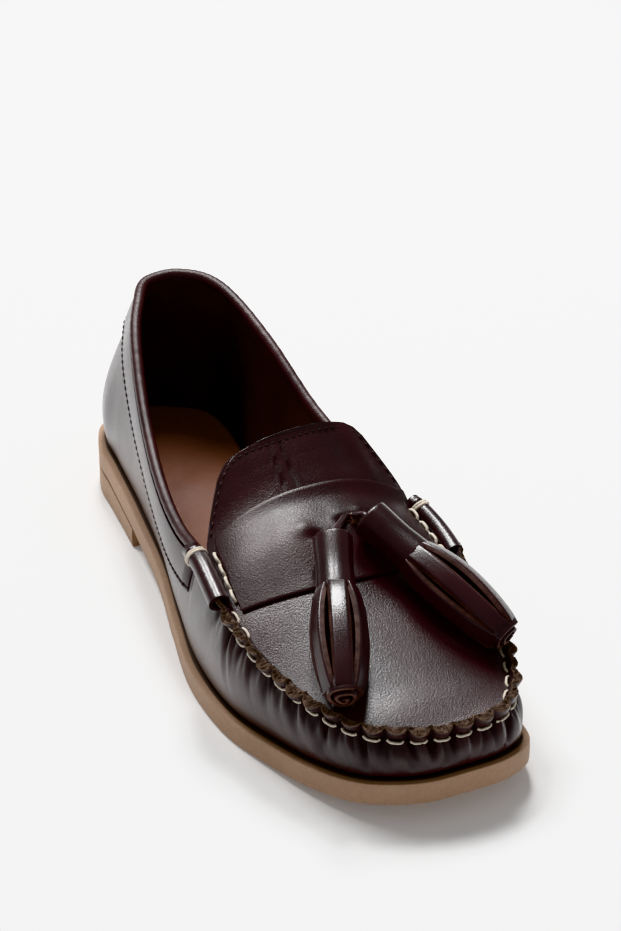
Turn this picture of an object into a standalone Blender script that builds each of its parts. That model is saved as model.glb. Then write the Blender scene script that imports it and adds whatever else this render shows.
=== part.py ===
"""A woman's tassel loafer, the right shoe, as its separate pieces.

Every piece is worked out in the shoe's own directions: along runs from the back of the
heel to the toe, across is positive towards the other foot, and height starts at the floor.
In the finished part the toe points to -Y, across is +X and height is +Z, in metres.
"""

import math

import bmesh
import bpy
import numpy as np

# Overall sizes of the shoe
LENGTH = 0.257
BALL_WIDTH = 0.0925
OUTSOLE_THICKNESS = 0.0089
OUTSOLE_EDGE_ROUND = 0.0009
HEEL_LENGTH = 0.059
HEEL_BACK_HEIGHT = 0.0130
HEEL_BREAST_HEIGHT = 0.0085
TOE_SPRING = 0.0085
COLLAR_RISE = 0.0620
SEAM_RISE = 0.0420
INSTEP_RISE = 0.0165

# Leather and trim
CLEARANCE = 0.0003
OVERLAY_GAP = 0.0006
UPPER_WALL = 0.0018
FEATHER_INSET = 0.0035
INSOLE_THICKNESS = 0.0030
TONGUE_WALL = 0.0018
SADDLE_WALL = 0.0016
SADDLE_GAP = 0.0010
SADDLE_SIDE_INSET = 0.0032
BINDING_DIAMETER = 0.0042
BAND_WIDTH = 0.0130
BAND_WALL = 0.0010
BAND_TOP_GAP = 0.0005
BACKSTAY_WIDTH = 0.0120
BACKSTAY_WALL = 0.0010
BACKSTAY_TOP_GAP = 0.0018
BARREL_DIAMETER = 0.0076
RIDGE_WIDTH = 0.0030
RIDGE_HEIGHT = 0.0040
SCALLOP_PITCH = 0.0080
SCALLOP_DEPTH = 0.0010
SEAM_LEAN_REACH = 0.0040

# Tassels and the thong between them
SLEEVE_DIAMETER = 0.0145
SLEEVE_LENGTH = 0.0240
SLEEVE_EDGE_ROUND = 0.0012
SKIRT_DIAMETER = 0.0205
SKIRT_LENGTH = 0.0380
ROLL_DIAMETER = 0.0140
ROLL_LENGTH = 0.0040
STRIP_COUNT = 6
STRIP_GROOVE = 0.0024
SKIRT_FLATTENING = 0.66
THONG_DIAMETER = 0.0030

# Places along the shoe, as shares of its length
SHANK_END = 0.583
SPRING_START = 0.700
BARREL_REAR = 0.566
BARREL_FRONT = 0.672
BINDING_END = 0.556
BAND_END = 0.548
SADDLE_REAR = 0.566
SADDLE_FRONT_MIDDLE = 0.722
SADDLE_FRONT_SIDE = 0.696
TONGUE_SEAM_STEP = 0.026

# Rows of RIBS, counted from nought, where the seam starts on the inner and on the outer side
SEAM_INNER_ROW = 7
SEAM_OUTER_ROW = 19

# Fineness of the faceted solids
STATIONS_AROUND = 84
HEIGHT_STEPS = (0.0, 0.12, 0.27, 0.44, 0.61, 0.77, 0.90, 1.0)
COLUMNS_ACROSS = 11
SEAM_SAMPLES = 400

# Ribs of the last, from the back of the heel along the inner side to the toe and back.
# along is a share of LENGTH, across, low and high are shares of BALL_WIDTH,
# and rise is a share of COLLAR_RISE or SEAM_RISE above the outsole, as the last word says.
RIBS = (
    # sole along, sole across, top along, top across, rise, low, high, top edge
    (0.000, 0.015, 0.038, 0.054, 1.025, 0.075, 0.030, "collar"),
    (0.021, 0.171, 0.047, 0.150, 1.040, 0.075, 0.030, "collar"),
    (0.059, 0.296, 0.080, 0.246, 1.045, 0.065, 0.030, "collar"),
    (0.125, 0.332, 0.135, 0.294, 1.025, 0.045, 0.025, "collar"),
    (0.233, 0.307, 0.230, 0.330, 0.935, 0.030, 0.020, "collar"),
    (0.370, 0.287, 0.350, 0.362, 0.810, 0.030, 0.015, "collar"),
    (0.486, 0.320, 0.467, 0.415, 0.725, 0.035, 0.020, "collar"),
    (0.602, 0.416, 0.584, 0.458, 0.930, 0.040, 0.030, "seam"),
    (0.707, 0.483, 0.693, 0.487, 0.765, 0.045, 0.045, "seam"),
    (0.809, 0.492, 0.790, 0.478, 0.670, 0.045, 0.050, "seam"),
    (0.902, 0.445, 0.875, 0.420, 0.545, 0.040, 0.050, "seam"),
    (0.966, 0.392, 0.930, 0.358, 0.465, 0.035, 0.045, "seam"),
    (0.996, 0.260, 0.967, 0.266, 0.405, 0.030, 0.045, "seam"),
    (1.000, 0.086, 0.975, 0.086, 0.385, 0.030, 0.045, "seam"),
    (0.993, -0.093, 0.962, -0.095, 0.405, 0.030, 0.045, "seam"),
    (0.950, -0.271, 0.926, -0.254, 0.475, 0.035, 0.045, "seam"),
    (0.884, -0.374, 0.864, -0.350, 0.580, 0.040, 0.050, "seam"),
    (0.795, -0.451, 0.782, -0.421, 0.725, 0.045, 0.055, "seam"),
    (0.700, -0.511, 0.700, -0.451, 0.865, 0.050, 0.060, "seam"),
    (0.588, -0.503, 0.588, -0.420, 1.020, 0.045, 0.045, "seam"),
    (0.472, -0.429, 0.471, -0.400, 0.650, 0.040, 0.030, "collar"),
    (0.358, -0.350, 0.358, -0.345, 0.670, 0.035, 0.020, "collar"),
    (0.233, -0.303, 0.237, -0.258, 0.775, 0.035, 0.015, "collar"),
    (0.126, -0.266, 0.136, -0.160, 0.935, 0.080, 0.015, "collar"),
    (0.069, -0.245, 0.078, -0.074, 1.000, 0.115, 0.015, "collar"),
    (0.021, -0.171, 0.046, -0.014, 1.015, 0.110, 0.020, "collar"),
)

# Free edges of the tongue, behind the seam.
# along is a share of LENGTH, across of BALL_WIDTH, and rise of COLLAR_RISE above the outsole.
TONGUE_ROWS = (
    # along, outer side across, inner side across, outer side rise, inner side rise
    (0.4980, -0.160, 0.230, 1.105, 1.140),
    (0.4995, -0.205, 0.275, 1.085, 1.120),
    (0.5040, -0.245, 0.315, 1.050, 1.085),
    (0.5120, -0.280, 0.345, 1.000, 1.035),
    (0.5260, -0.318, 0.380, 0.915, 0.945),
    (0.5450, -0.362, 0.420, 0.810, 0.835),
    (0.5620, -0.396, 0.450, 0.735, 0.745),
)

# Height of the instep's middle above its edges, along as a share of LENGTH
# and crown as a share of INSTEP_RISE.
CROWN_ROWS = (
    (0.498, 0.12),
    (0.504, 0.24),
    (0.526, 0.52),
    (0.562, 0.86),
    (0.590, 0.92),
    (0.640, 0.86),
    (0.697, 0.70),
    (0.786, 0.50),
    (0.868, 0.31),
    (0.925, 0.15),
    (0.960, 0.04),
    (0.971, 0.00),
)
CROWN_FULLNESS = 2.4

# Axes of the tassels: where the sleeve starts and where the roll ends,
# along as a share of LENGTH and across as a share of BALL_WIDTH.
TASSEL_ROWS = (
    # name, start along, start across, end along, end across
    ("tassel_lateral", 0.688, -0.034, 0.910, -0.294),
    ("tassel_medial", 0.668, 0.142, 0.884, 0.432),
)
THONG_HOLE = (0.652, 0.062)

MATERIALS = {
    # name: base colour, roughness, metallic
    "oxblood_leather": ((0.045, 0.014, 0.016, 1.0), 0.22, 0.0),
    "raw_edge_leather": ((0.070, 0.035, 0.022, 1.0), 0.80, 0.0),
    "insole_leather": ((0.205, 0.075, 0.045, 1.0), 0.50, 0.0),
    "tan_rubber": ((0.255, 0.130, 0.075, 1.0), 0.62, 0.0),
}


# Shared curves and surfaces

def smooth_step(value):
    clipped = np.clip(value, 0.0, 1.0)
    return clipped * clipped * (3.0 - 2.0 * clipped)


def closed_curve(values, turn):
    """Smooth closed curve through evenly spaced rows, turn from 0 to 1 once around."""
    rows = np.asarray(values, dtype=float)
    count = len(rows)
    place = np.asarray(turn, dtype=float) * count
    first = np.floor(place).astype(int)
    share = (place - first)[..., None]
    before, start, end, after = (rows[(first + step) % count] for step in (-1, 0, 1, 2))
    slope_in = (end - before) / 2.0
    slope_out = (after - start) / 2.0
    rise = end - start
    return (start + share * (slope_in + share * (3.0 * rise - 2.0 * slope_in - slope_out
            + share * (slope_in + slope_out - 2.0 * rise))))


def sole_bottom(along):
    """Height of the outsole's underside: level heel seat, shank, flat tread, toe spring."""
    seat = HEEL_BREAST_HEIGHT + (HEEL_BACK_HEIGHT - HEEL_BREAST_HEIGHT) * (1.0 - along / HEEL_LENGTH)
    shank_share = np.clip((along - HEEL_LENGTH) / (SHANK_END * LENGTH - HEEL_LENGTH), 0.0, 1.0)
    shank = HEEL_BREAST_HEIGHT * (1.0 - shank_share) ** 1.8
    spring_share = np.clip((along / LENGTH - SPRING_START) / (1.0 - SPRING_START), 0.0, None)
    return np.where(along < HEEL_LENGTH, seat, shank) + TOE_SPRING * spring_share ** 2


def sole_top(along):
    return sole_bottom(along) + OUTSOLE_THICKNESS


def sole_outline(turn):
    return closed_curve([(row[0] * LENGTH, row[1] * BALL_WIDTH) for row in RIBS], turn)


def plan_normal(turn):
    """Outward direction of the sole's outline, in plan."""
    step = 1e-3
    tangent = sole_outline(turn + step) - sole_outline(turn - step)
    normal = np.stack([-tangent[..., 1], tangent[..., 0]], axis=-1)
    return normal / np.linalg.norm(normal, axis=-1, keepdims=True)


def inset_outline(turn, inset):
    return sole_outline(turn) - plan_normal(turn) * inset


def top_line(turn):
    """The finished upper edge: topline of the collar behind, seam of the apron in front."""
    rises = {"collar": COLLAR_RISE, "seam": SEAM_RISE}
    rows = [(row[2] * LENGTH, row[3] * BALL_WIDTH,
             sole_top(row[2] * LENGTH) + row[4] * rises[row[7]]) for row in RIBS]
    return closed_curve(rows, turn)


def collar_share(along):
    """One under the collar's binding, nought under the barrels and the apron seam."""
    return 1.0 - smooth_step((along - BINDING_END * LENGTH) / ((BARREL_REAR - BINDING_END) * LENGTH))


def upper_edge(turn):
    """Top of the upper's own wall, which leaves room for the binding along the collar."""
    edge = top_line(turn)
    edge[..., 2] -= collar_share(edge[..., 0]) * (BINDING_DIAMETER + CLEARANCE)
    return edge


def upper_surface(turn, height):
    """Outer face of the upper: a cubic from the feather edge to the top edge, bulged outwards."""
    turn, height = np.broadcast_arrays(np.asarray(turn, dtype=float), np.asarray(height, dtype=float))
    plan = inset_outline(turn, FEATHER_INSET)
    foot = np.concatenate([plan, (sole_top(plan[..., 0]) + CLEARANCE)[..., None]], axis=-1)
    top = upper_edge(turn)
    outward = np.concatenate([plan_normal(turn), np.zeros(turn.shape + (1,))], axis=-1)
    bulge = closed_curve([(row[5] * BALL_WIDTH, row[6] * BALL_WIDTH) for row in RIBS], turn)
    low = foot + (top - foot) / 3.0 + outward * bulge[..., :1]
    high = foot + (top - foot) * 2.0 / 3.0 + outward * bulge[..., 1:]
    share = height[..., None]
    rest = 1.0 - share
    return rest ** 3 * foot + 3 * rest ** 2 * share * low + 3 * rest * share ** 2 * high + share ** 3 * top


def upper_normal(turn, height):
    """Outward direction of the upper's face, from its slopes around and upwards."""
    turn, height = np.broadcast_arrays(np.asarray(turn, dtype=float), np.asarray(height, dtype=float))
    step = 1e-3
    around = upper_surface(turn + step, height) - upper_surface(turn - step, height)
    upward = (upper_surface(turn, np.clip(height + step, 0.0, 1.0))
              - upper_surface(turn, np.clip(height - step, 0.0, 1.0)))
    normal = -np.cross(around, upward)
    normal /= np.linalg.norm(normal, axis=-1, keepdims=True)
    outward = np.sum(normal[..., :2] * plan_normal(turn), axis=-1, keepdims=True)
    return np.where(outward < 0.0, -normal, normal)


def side_of_seam(inner_side):
    """Seam points from the barrel's rear end to the toe, in order along the shoe."""
    toe = 0.5
    start_row = SEAM_INNER_ROW if inner_side else SEAM_OUTER_ROW
    turns = np.linspace(toe, start_row / len(RIBS), SEAM_SAMPLES)
    points = top_line(turns)
    return points[np.argsort(points[:, 0])]


def instep_edges(along):
    """Across and height of the instep's outer and inner edge: tongue behind, seam in front."""
    found = []
    for inner_side in (False, True):
        seam = side_of_seam(inner_side)
        free = np.array([(row[0] * LENGTH, row[2 if inner_side else 1] * BALL_WIDTH,
                          sole_top(row[0] * LENGTH) + row[4 if inner_side else 3] * COLLAR_RISE)
                         for row in TONGUE_ROWS])
        edge = np.concatenate([free, seam])
        found.append((np.interp(along, edge[:, 0], edge[:, 1]), np.interp(along, edge[:, 0], edge[:, 2])))
    return found


def instep_height(along, across):
    """Outer face of the apron and tongue: a chord between the edges with a crown on it."""
    (outer_across, outer_height), (inner_across, inner_height) = instep_edges(along)
    share = np.clip((across - outer_across) / np.maximum(inner_across - outer_across, 1e-6), 0.0, 1.0)
    crown = INSTEP_RISE * np.interp(along / LENGTH, *np.array(CROWN_ROWS).T)
    return (outer_height + (inner_height - outer_height) * share
            + crown * (1.0 - np.abs(2.0 * share - 1.0) ** CROWN_FULLNESS))


def instep_slant(along, across):
    """How much longer a vertical line through the instep's skin is than the skin is thick."""
    step = 0.0015
    slope_along = (instep_height(along + step, across) - instep_height(along - step, across)) / (2 * step)
    slope_across = (instep_height(along, across + step) - instep_height(along, across - step)) / (2 * step)
    return np.clip(np.sqrt(1.0 + slope_along ** 2 + slope_across ** 2), 1.0, 1.5)


def turn_at(along, inner_side):
    """Where the top edge passes a station, on the inner or the outer side."""
    turns = np.linspace(0.02, 0.5, SEAM_SAMPLES) if inner_side else np.linspace(0.98, 0.5, SEAM_SAMPLES)
    return float(np.interp(along, top_line(turns)[:, 0], turns))


def collar_turns(end_share):
    """The upper's own stations from the outer side around the heel, behind a place along the shoe."""
    first = math.ceil(turn_at(end_share * LENGTH, False) * STATIONS_AROUND)
    last = math.floor((1.0 + turn_at(end_share * LENGTH, True)) * STATIONS_AROUND)
    return np.arange(first, last + 1) / STATIONS_AROUND


def seam_normal(turn):
    """Direction in which the seam stands up, between the faces of wrap and apron."""
    point = top_line(turn)
    wrap = upper_normal(turn, np.full(np.shape(turn), 0.97))
    plan = plan_normal(turn)
    inner = point[..., :2] - plan * SEAM_LEAN_REACH
    rise = (instep_height(inner[..., 0], inner[..., 1]) - point[..., 2]) / SEAM_LEAN_REACH
    apron = np.concatenate([plan * rise[..., None], np.ones(np.shape(turn) + (1,))], axis=-1)
    apron /= np.linalg.norm(apron, axis=-1, keepdims=True)
    normal = wrap + apron
    return normal / np.linalg.norm(normal, axis=-1, keepdims=True)


# Making meshes

def to_part_frame(points):
    """From along, across, height to the part's X, Y, Z, before the part is centred."""
    points = np.asarray(points, dtype=float)
    return np.stack([points[..., 1], -points[..., 0], points[..., 2]], axis=-1)


def add_solid(name, points, faces, material):
    mesh = bpy.data.meshes.new(name)
    mesh.from_pydata(to_part_frame(points).tolist(), [], faces)
    shape = bmesh.new()
    shape.from_mesh(mesh)
    bmesh.ops.remove_doubles(shape, verts=shape.verts, dist=1e-6)
    bmesh.ops.triangulate(shape, faces=shape.faces)
    bmesh.ops.recalc_face_normals(shape, faces=shape.faces)
    shape.to_mesh(mesh)
    shape.free()
    mesh.shade_smooth()
    mesh.set_sharp_from_angle(angle=math.radians(50))
    mesh.materials.append(bpy.data.materials[material])
    solid = bpy.data.objects.new(name, mesh)
    bpy.context.scene.collection.objects.link(solid)
    return solid


def strip_faces(rows, columns, start, closed):
    """Four-sided faces of a grid whose points are numbered row by row from start."""
    across = columns if closed else columns - 1
    return [(start + row * columns + column,
             start + row * columns + (column + 1) % columns,
             start + (row + 1) * columns + (column + 1) % columns,
             start + (row + 1) * columns + column)
            for row in range(rows - 1) for column in range(across)]


def add_wall(name, outer, inner, closed, material):
    """Closed wall between two grids of the same size, joined along all their free edges."""
    rows, columns = outer.shape[:2]
    size = rows * columns
    faces = strip_faces(rows, columns, 0, closed)
    faces += [face[::-1] for face in strip_faces(rows, columns, size, closed)]
    across = columns if closed else columns - 1
    for column in range(across):
        following = (column + 1) % columns
        last = (rows - 1) * columns
        faces.append((following, column, size + column, size + following))
        faces.append((last + column, last + following, size + last + following, size + last + column))
    if not closed:
        for row in range(rows - 1):
            for column in (0, columns - 1):
                here = row * columns + column
                there = here + columns
                faces.append((here, there, size + there, size + here))
    points = np.concatenate([outer.reshape(-1, 3), inner.reshape(-1, 3)])
    return add_solid(name, points, faces, material)


def add_loft(name, rings, material):
    """Closed body through rings of points, with flat ends."""
    rows, columns = rings.shape[:2]
    faces = strip_faces(rows, columns, 0, True)
    faces.append(tuple(range(columns))[::-1])
    faces.append(tuple(range((rows - 1) * columns, rows * columns)))
    return add_solid(name, rings.reshape(-1, 3), faces, material)


def unit(vectors):
    return vectors / np.linalg.norm(vectors, axis=-1, keepdims=True)


def tube_rings(path, radii, sides):
    """Rings of a round tube along a path, square to it, first point on its upper side."""
    path = np.asarray(path, dtype=float)
    tangent = unit(np.gradient(path, axis=0))
    side = unit(np.cross(tangent, np.array([0.0, 0.0, 1.0])))
    up = np.cross(side, tangent)
    angle = np.linspace(0.0, 2.0 * math.pi, sides, endpoint=False)
    circle = (np.cos(angle)[:, None] * up[:, None, :] + np.sin(angle)[:, None] * side[:, None, :])
    return path[:, None, :] + circle * np.broadcast_to(radii, len(path))[:, None, None]


# The pieces

def make_outsole():
    turns = np.arange(STATIONS_AROUND) / STATIONS_AROUND
    rings = []
    for inset, from_top, level in ((OUTSOLE_EDGE_ROUND, 0.0, False), (0.0, OUTSOLE_EDGE_ROUND, False),
                                   (0.0, -OUTSOLE_EDGE_ROUND, True), (OUTSOLE_EDGE_ROUND, 0.0, True)):
        plan = inset_outline(turns, inset)
        height = sole_top(plan[:, 0]) if level else sole_bottom(plan[:, 0])
        rings.append(np.column_stack([plan, height + from_top]))
    return add_plate("outsole", rings, "tan_rubber")


def add_plate(name, rings, material):
    """Plate bounded by closed rings, bottom first, with caps in strips from side to side."""
    points = np.concatenate(rings)
    columns = len(rings[0])
    faces = strip_faces(len(rings), columns, 0, True)
    for start, upward in ((0, False), ((len(rings) - 1) * columns, True)):
        for step in range(columns // 2):
            near, far = step, (columns - step) % columns
            ahead, ahead_far = step + 1, columns - step - 1
            face = [near, ahead, ahead_far, far]
            face = [start + point for index, point in enumerate(face) if point not in face[:index]]
            faces.append(tuple(face) if upward else tuple(face[::-1]))
    return add_solid(name, points, faces, material)


def make_heel():
    """Lift under the heel seat, cut straight across at the breast."""
    inner_turns = np.linspace(0.0, 0.5, SEAM_SAMPLES)
    outer_turns = np.linspace(1.0, 0.5, SEAM_SAMPLES)
    inner_end = np.interp(HEEL_LENGTH, sole_outline(inner_turns)[:, 0], inner_turns)
    outer_end = np.interp(HEEL_LENGTH, sole_outline(outer_turns)[:, 0], outer_turns) - 1.0
    turns = np.linspace(outer_end, inner_end, 36)
    rings = []
    for inset, from_floor in ((OUTSOLE_EDGE_ROUND, 0.0), (0.0, OUTSOLE_EDGE_ROUND)):
        plan = inset_outline(turns, inset)
        rings.append(np.column_stack([plan, np.full(len(turns), from_floor)]))
    plan = inset_outline(turns, 0.0)
    rings.append(np.column_stack([plan, sole_bottom(plan[:, 0]) - CLEARANCE]))
    return add_loft("heel", np.array(rings), "tan_rubber")


def make_insole():
    turns = np.arange(STATIONS_AROUND) / STATIONS_AROUND
    plan = inset_outline(turns, FEATHER_INSET + UPPER_WALL + 2.0 * CLEARANCE)
    bottom = sole_top(plan[:, 0]) + CLEARANCE
    rings = [np.column_stack([plan, bottom]), np.column_stack([plan, bottom + INSOLE_THICKNESS])]
    return add_plate("insole", rings, "insole_leather")


def make_upper():
    """Wrap and quarters as one hollow wall, open on top and underneath."""
    turns = np.arange(STATIONS_AROUND) / STATIONS_AROUND
    turn, height = np.meshgrid(turns, np.array(HEIGHT_STEPS))
    outer = upper_surface(turn, height)
    inner = outer - upper_normal(turn, height) * UPPER_WALL
    plan = plan_normal(turns)
    foot = outer[0, :, :2] - plan * UPPER_WALL
    inner[0] = np.column_stack([foot, sole_top(foot[:, 0]) + CLEARANCE])
    share = collar_share(outer[-1, :, 0])[:, None]
    collar_rim = np.column_stack([-plan, np.zeros(len(turns))]) * UPPER_WALL
    seam_rim = np.array([0.0, 0.0, -1.1 * UPPER_WALL])
    inner[-1] = outer[-1] + collar_rim * share + seam_rim * (1.0 - share)
    return add_wall("upper", outer, inner, True, "oxblood_leather")


def instep_wall(along, across, low, high):
    """Two faces that lie low and high above the instep's face, measured square to it."""
    base = instep_height(along, across)
    slant = instep_slant(along, across)
    faces = [np.stack([along, across, base + lift * slant], axis=-1) for lift in (high, low)]
    return faces


def make_plug_and_tongue():
    """Apron and tongue in one piece, whose front edge meets the wrap at the seam."""
    share = np.linspace(-1.0, 1.0, COLUMNS_ACROSS)
    share = np.sin(share * math.pi / 2.0) * 0.35 + share * 0.65
    half = STATIONS_AROUND // 2
    seam_end = TONGUE_ROWS[-1][0] + TONGUE_SEAM_STEP
    last_pair = int(half * (1.0 - 2.0 * turn_at(seam_end * LENGTH, True)))
    pairs = np.arange(1, last_pair + 1) / STATIONS_AROUND
    inner_side = top_line(0.5 - pairs)[:, :2]
    outer_side = top_line(0.5 + pairs)[:, :2]
    free = np.array([row[0] for row in TONGUE_ROWS] + [TONGUE_ROWS[-1][0] + TONGUE_SEAM_STEP / 2.0]) * LENGTH
    free = np.sort(np.concatenate([free, (free[2:] + free[1:-1]) / 2.0]))[::-1]
    (outer_across, _), (inner_across, _) = instep_edges(free)
    outer_free = np.column_stack([free, outer_across])
    inner_free = np.column_stack([free, inner_across])
    outer_side = np.concatenate([outer_side, outer_free])[:, None]
    inner_side = np.concatenate([inner_side, inner_free])[:, None]
    width = np.linalg.norm(inner_side - outer_side, axis=-1, keepdims=True)
    share = share[None, :, None] * (1.0 - 2.0 * CLEARANCE / width)
    plan = (outer_side + inner_side) / 2.0 + (inner_side - outer_side) / 2.0 * share
    outer, inner = instep_wall(plan[..., 0], plan[..., 1], -TONGUE_WALL, 0.0)
    return add_wall("plug_and_tongue", outer, inner, False, "oxblood_leather")


def make_saddle():
    """Band over the instep, whose front edge bows forward in the middle."""
    rows, columns = 8, 13
    share, back_to_front = np.meshgrid(np.linspace(-1.0, 1.0, columns), np.linspace(0.0, 1.0, rows))
    front = SADDLE_FRONT_MIDDLE + (SADDLE_FRONT_SIDE - SADDLE_FRONT_MIDDLE) * share ** 2
    along = (SADDLE_REAR + (front - SADDLE_REAR) * back_to_front) * LENGTH
    (outer_across, _), (inner_across, _) = instep_edges(along)
    middle = (outer_across + inner_across) / 2.0
    half_width = (inner_across - outer_across) / 2.0 - SADDLE_SIDE_INSET
    across = middle + half_width * share
    outer, inner = instep_wall(along, across, SADDLE_GAP, SADDLE_GAP + SADDLE_WALL)
    return add_wall("saddle", outer, inner, False, "oxblood_leather")


def make_collar_binding():
    """Rolled edge of the topline, from barrel to barrel around the heel."""
    turns = collar_turns(BINDING_END)
    edge = upper_edge(turns)
    plan = plan_normal(turns)
    centre = edge.copy()
    centre[:, :2] -= plan * UPPER_WALL / 2.0
    centre[:, 2] += CLEARANCE + BINDING_DIAMETER / 2.0
    return add_loft("collar_binding", tube_rings(centre, BINDING_DIAMETER / 2.0, 8), "oxblood_leather")


def overlay_wall(turn, height, wall):
    """A skin of the given thickness that lies on the upper, with the usual clearance."""
    base = upper_surface(turn, height)
    normal = upper_normal(turn, height)
    return base + normal * (OVERLAY_GAP + wall), base + normal * OVERLAY_GAP


def make_collar_band():
    """Strip below the binding, stitched along its lower edge."""
    turns = collar_turns(BAND_END)
    top = upper_surface(turns, np.ones(len(turns)))
    foot = upper_surface(turns, np.zeros(len(turns)))
    below_edge = BAND_TOP_GAP + BAND_WIDTH * np.linspace(1.0, 0.0, 4)[:, None]
    height = 1.0 - below_edge / (top - foot)[:, 2]
    outer, inner = overlay_wall(np.broadcast_to(turns, height.shape), height, BAND_WALL)
    return add_wall("collar_band", outer, inner, False, "oxblood_leather")


def make_backstay():
    """Narrow strip that covers the seam at the back, from the sole to the collar band."""
    rows, columns = 7, 5
    top = float(upper_surface(0.0, 1.0)[2])
    foot = float(upper_surface(0.0, 0.0)[2])
    highest = 1.0 - (BAND_WIDTH + BACKSTAY_TOP_GAP) / (top - foot)
    outline_step = 1e-3
    speed = np.linalg.norm(sole_outline(outline_step) - sole_outline(-outline_step)) / (2 * outline_step)
    half_turn = BACKSTAY_WIDTH / 2.0 / speed
    turn, height = np.meshgrid(np.linspace(-half_turn, half_turn, columns), np.linspace(0.03, highest, rows))
    outer, inner = overlay_wall(turn, height, BACKSTAY_WALL)
    return add_wall("backstay", outer, inner, False, "oxblood_leather")


def make_apron_seam():
    """Raised seam of wrap and apron, whose upper edge waves once for each stitch."""
    turns = np.linspace(turn_at(BARREL_FRONT * LENGTH, True), turn_at(BARREL_FRONT * LENGTH, False), 150)
    line = top_line(turns)
    travelled = np.concatenate([[0.0], np.cumsum(np.linalg.norm(np.diff(line, axis=0), axis=1))])
    start_gap = BARREL_DIAMETER / 4.0
    scallops = max(1, round((travelled[-1] - 2.0 * start_gap) / SCALLOP_PITCH))
    distance = np.linspace(start_gap, travelled[-1] - start_gap, scallops * 4 + 1)
    turn = np.interp(distance, travelled, turns)
    line = top_line(turn)
    normal = seam_normal(turn)
    side = unit(np.cross(normal, unit(np.gradient(line, axis=0))))
    wave = 0.5 - 0.5 * np.cos(2.0 * math.pi * np.arange(len(turn)) / 4.0)
    low = CLEARANCE * 2.0
    high = (RIDGE_HEIGHT - SCALLOP_DEPTH * (1.0 - wave))[:, None]
    half = RIDGE_WIDTH / 2.0
    half_high = (half * 0.55 + SCALLOP_DEPTH * wave * 0.5)[:, None]
    base = line + normal * low
    crest = line + normal * (low + high)
    rings = np.stack([base - side * half, base + side * half, crest + side * half_high,
                      crest - side * half_high], axis=1)
    return add_loft("apron_seam", rings, "raw_edge_leather")


def make_barrel(name, inner_side):
    """Rolled leather at the end of the saddle, lying along the seam."""
    turns = np.linspace(turn_at(BARREL_REAR * LENGTH, inner_side), turn_at(BARREL_FRONT * LENGTH, inner_side), 7)
    radius = BARREL_DIAMETER / 2.0
    centre = top_line(turns) + seam_normal(turns) * (radius + 2.0 * CLEARANCE)
    ends = np.array([0.86, 1.0, 1.0, 1.0, 1.0, 1.0, 0.86])
    return add_loft(name, tube_rings(centre, radius * ends, 12), "oxblood_leather")


def resting_height(along, across):
    """Top of what a tassel can lie on: apron, saddle or raised seam."""
    base = instep_height(along, across)
    (outer_across, outer_height), (inner_across, inner_height) = instep_edges(along)
    middle = (outer_across + inner_across) / 2.0
    half_width = np.maximum((inner_across - outer_across) / 2.0, 1e-6)
    share = np.clip((across - middle) / half_width, -1.0, 1.0)
    front = SADDLE_FRONT_MIDDLE + (SADDLE_FRONT_SIDE - SADDLE_FRONT_MIDDLE) * share ** 2
    saddle = (SADDLE_GAP + SADDLE_WALL) * instep_slant(along, across)
    height = np.where(along < front * LENGTH + CLEARANCE * 2.0, base + saddle, base)
    near_edge = np.minimum(across - outer_across, inner_across - across) < RIDGE_HEIGHT
    edge = np.where(share < 0.0, outer_height, inner_height) + RIDGE_HEIGHT + 2.0 * CLEARANCE
    return np.where(near_edge, np.maximum(height, edge), height)


def tassel_rings(row):
    """Rings of a tassel around its axis, lifted until it lies clear of what is below."""
    _, start_along, start_across, end_along, end_across = row
    start = np.array([start_along * LENGTH, start_across * BALL_WIDTH, 0.0])
    end = np.array([end_along * LENGTH, end_across * BALL_WIDTH, 0.0])
    start[2] = resting_height(start[0], start[1]) + SLEEVE_DIAMETER / 2.0
    end[2] = resting_height(end[0], end[1]) + ROLL_DIAMETER / 2.0
    whole = SLEEVE_LENGTH + SKIRT_LENGTH + ROLL_LENGTH
    sleeve = SLEEVE_DIAMETER / 2.0
    skirt = SKIRT_DIAMETER / 2.0
    roll = ROLL_DIAMETER / 2.0
    profile = [(0.0, sleeve * 0.80, 0.0), (SLEEVE_EDGE_ROUND, sleeve, 0.0), (SLEEVE_LENGTH, sleeve, 0.0),
               (SLEEVE_LENGTH + SLEEVE_EDGE_ROUND * 0.7, sleeve * 0.88, 0.4)]
    for share in (0.14, 0.32, 0.52, 0.72, 0.90):
        swell = math.sin(math.pi * (0.10 + 0.80 * share)) ** 0.8
        radius = sleeve + (skirt - sleeve) * swell
        profile.append((SLEEVE_LENGTH + SKIRT_LENGTH * share, radius, 1.0))
    profile += [(SLEEVE_LENGTH + SKIRT_LENGTH, roll * 1.04, 0.5), (whole - ROLL_LENGTH * 0.6, roll, 0.0),
                (whole, roll * 0.94, 0.0)]
    sides = STRIP_COUNT * 4
    angle = np.arange(sides) * 2.0 * math.pi / sides
    groove = np.tile([1.0, 0.0, 0.0, 0.0], STRIP_COUNT)
    direction = unit(end - start)
    across = unit(np.cross(direction, np.array([0.0, 0.0, 1.0])))
    up = np.cross(across, direction)
    rings = []
    for distance, radius, grooved in profile:
        centre = start + direction * distance
        reach = radius - STRIP_GROOVE * grooved * groove
        flattening = 1.0 - (1.0 - SKIRT_FLATTENING) * max(0.0, (radius - sleeve) / (skirt - sleeve))
        vertical = np.where(np.sin(angle) < 0.0, flattening, 1.0) * np.sin(angle)
        rings.append(centre + (reach * np.cos(angle))[:, None] * across + (reach * vertical)[:, None] * up)
    rings = np.array(rings)
    floor = resting_height(rings[..., 0], rings[..., 1]) + 2.0 * CLEARANCE
    rings[..., 2] += np.max(floor - rings[..., 2])
    return rings


def make_tassel(row):
    """Sleeve, bulging skirt of strips and rolled end, as one body around one axis."""
    return add_loft(row[0], tassel_rings(row), "oxblood_leather")


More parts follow.
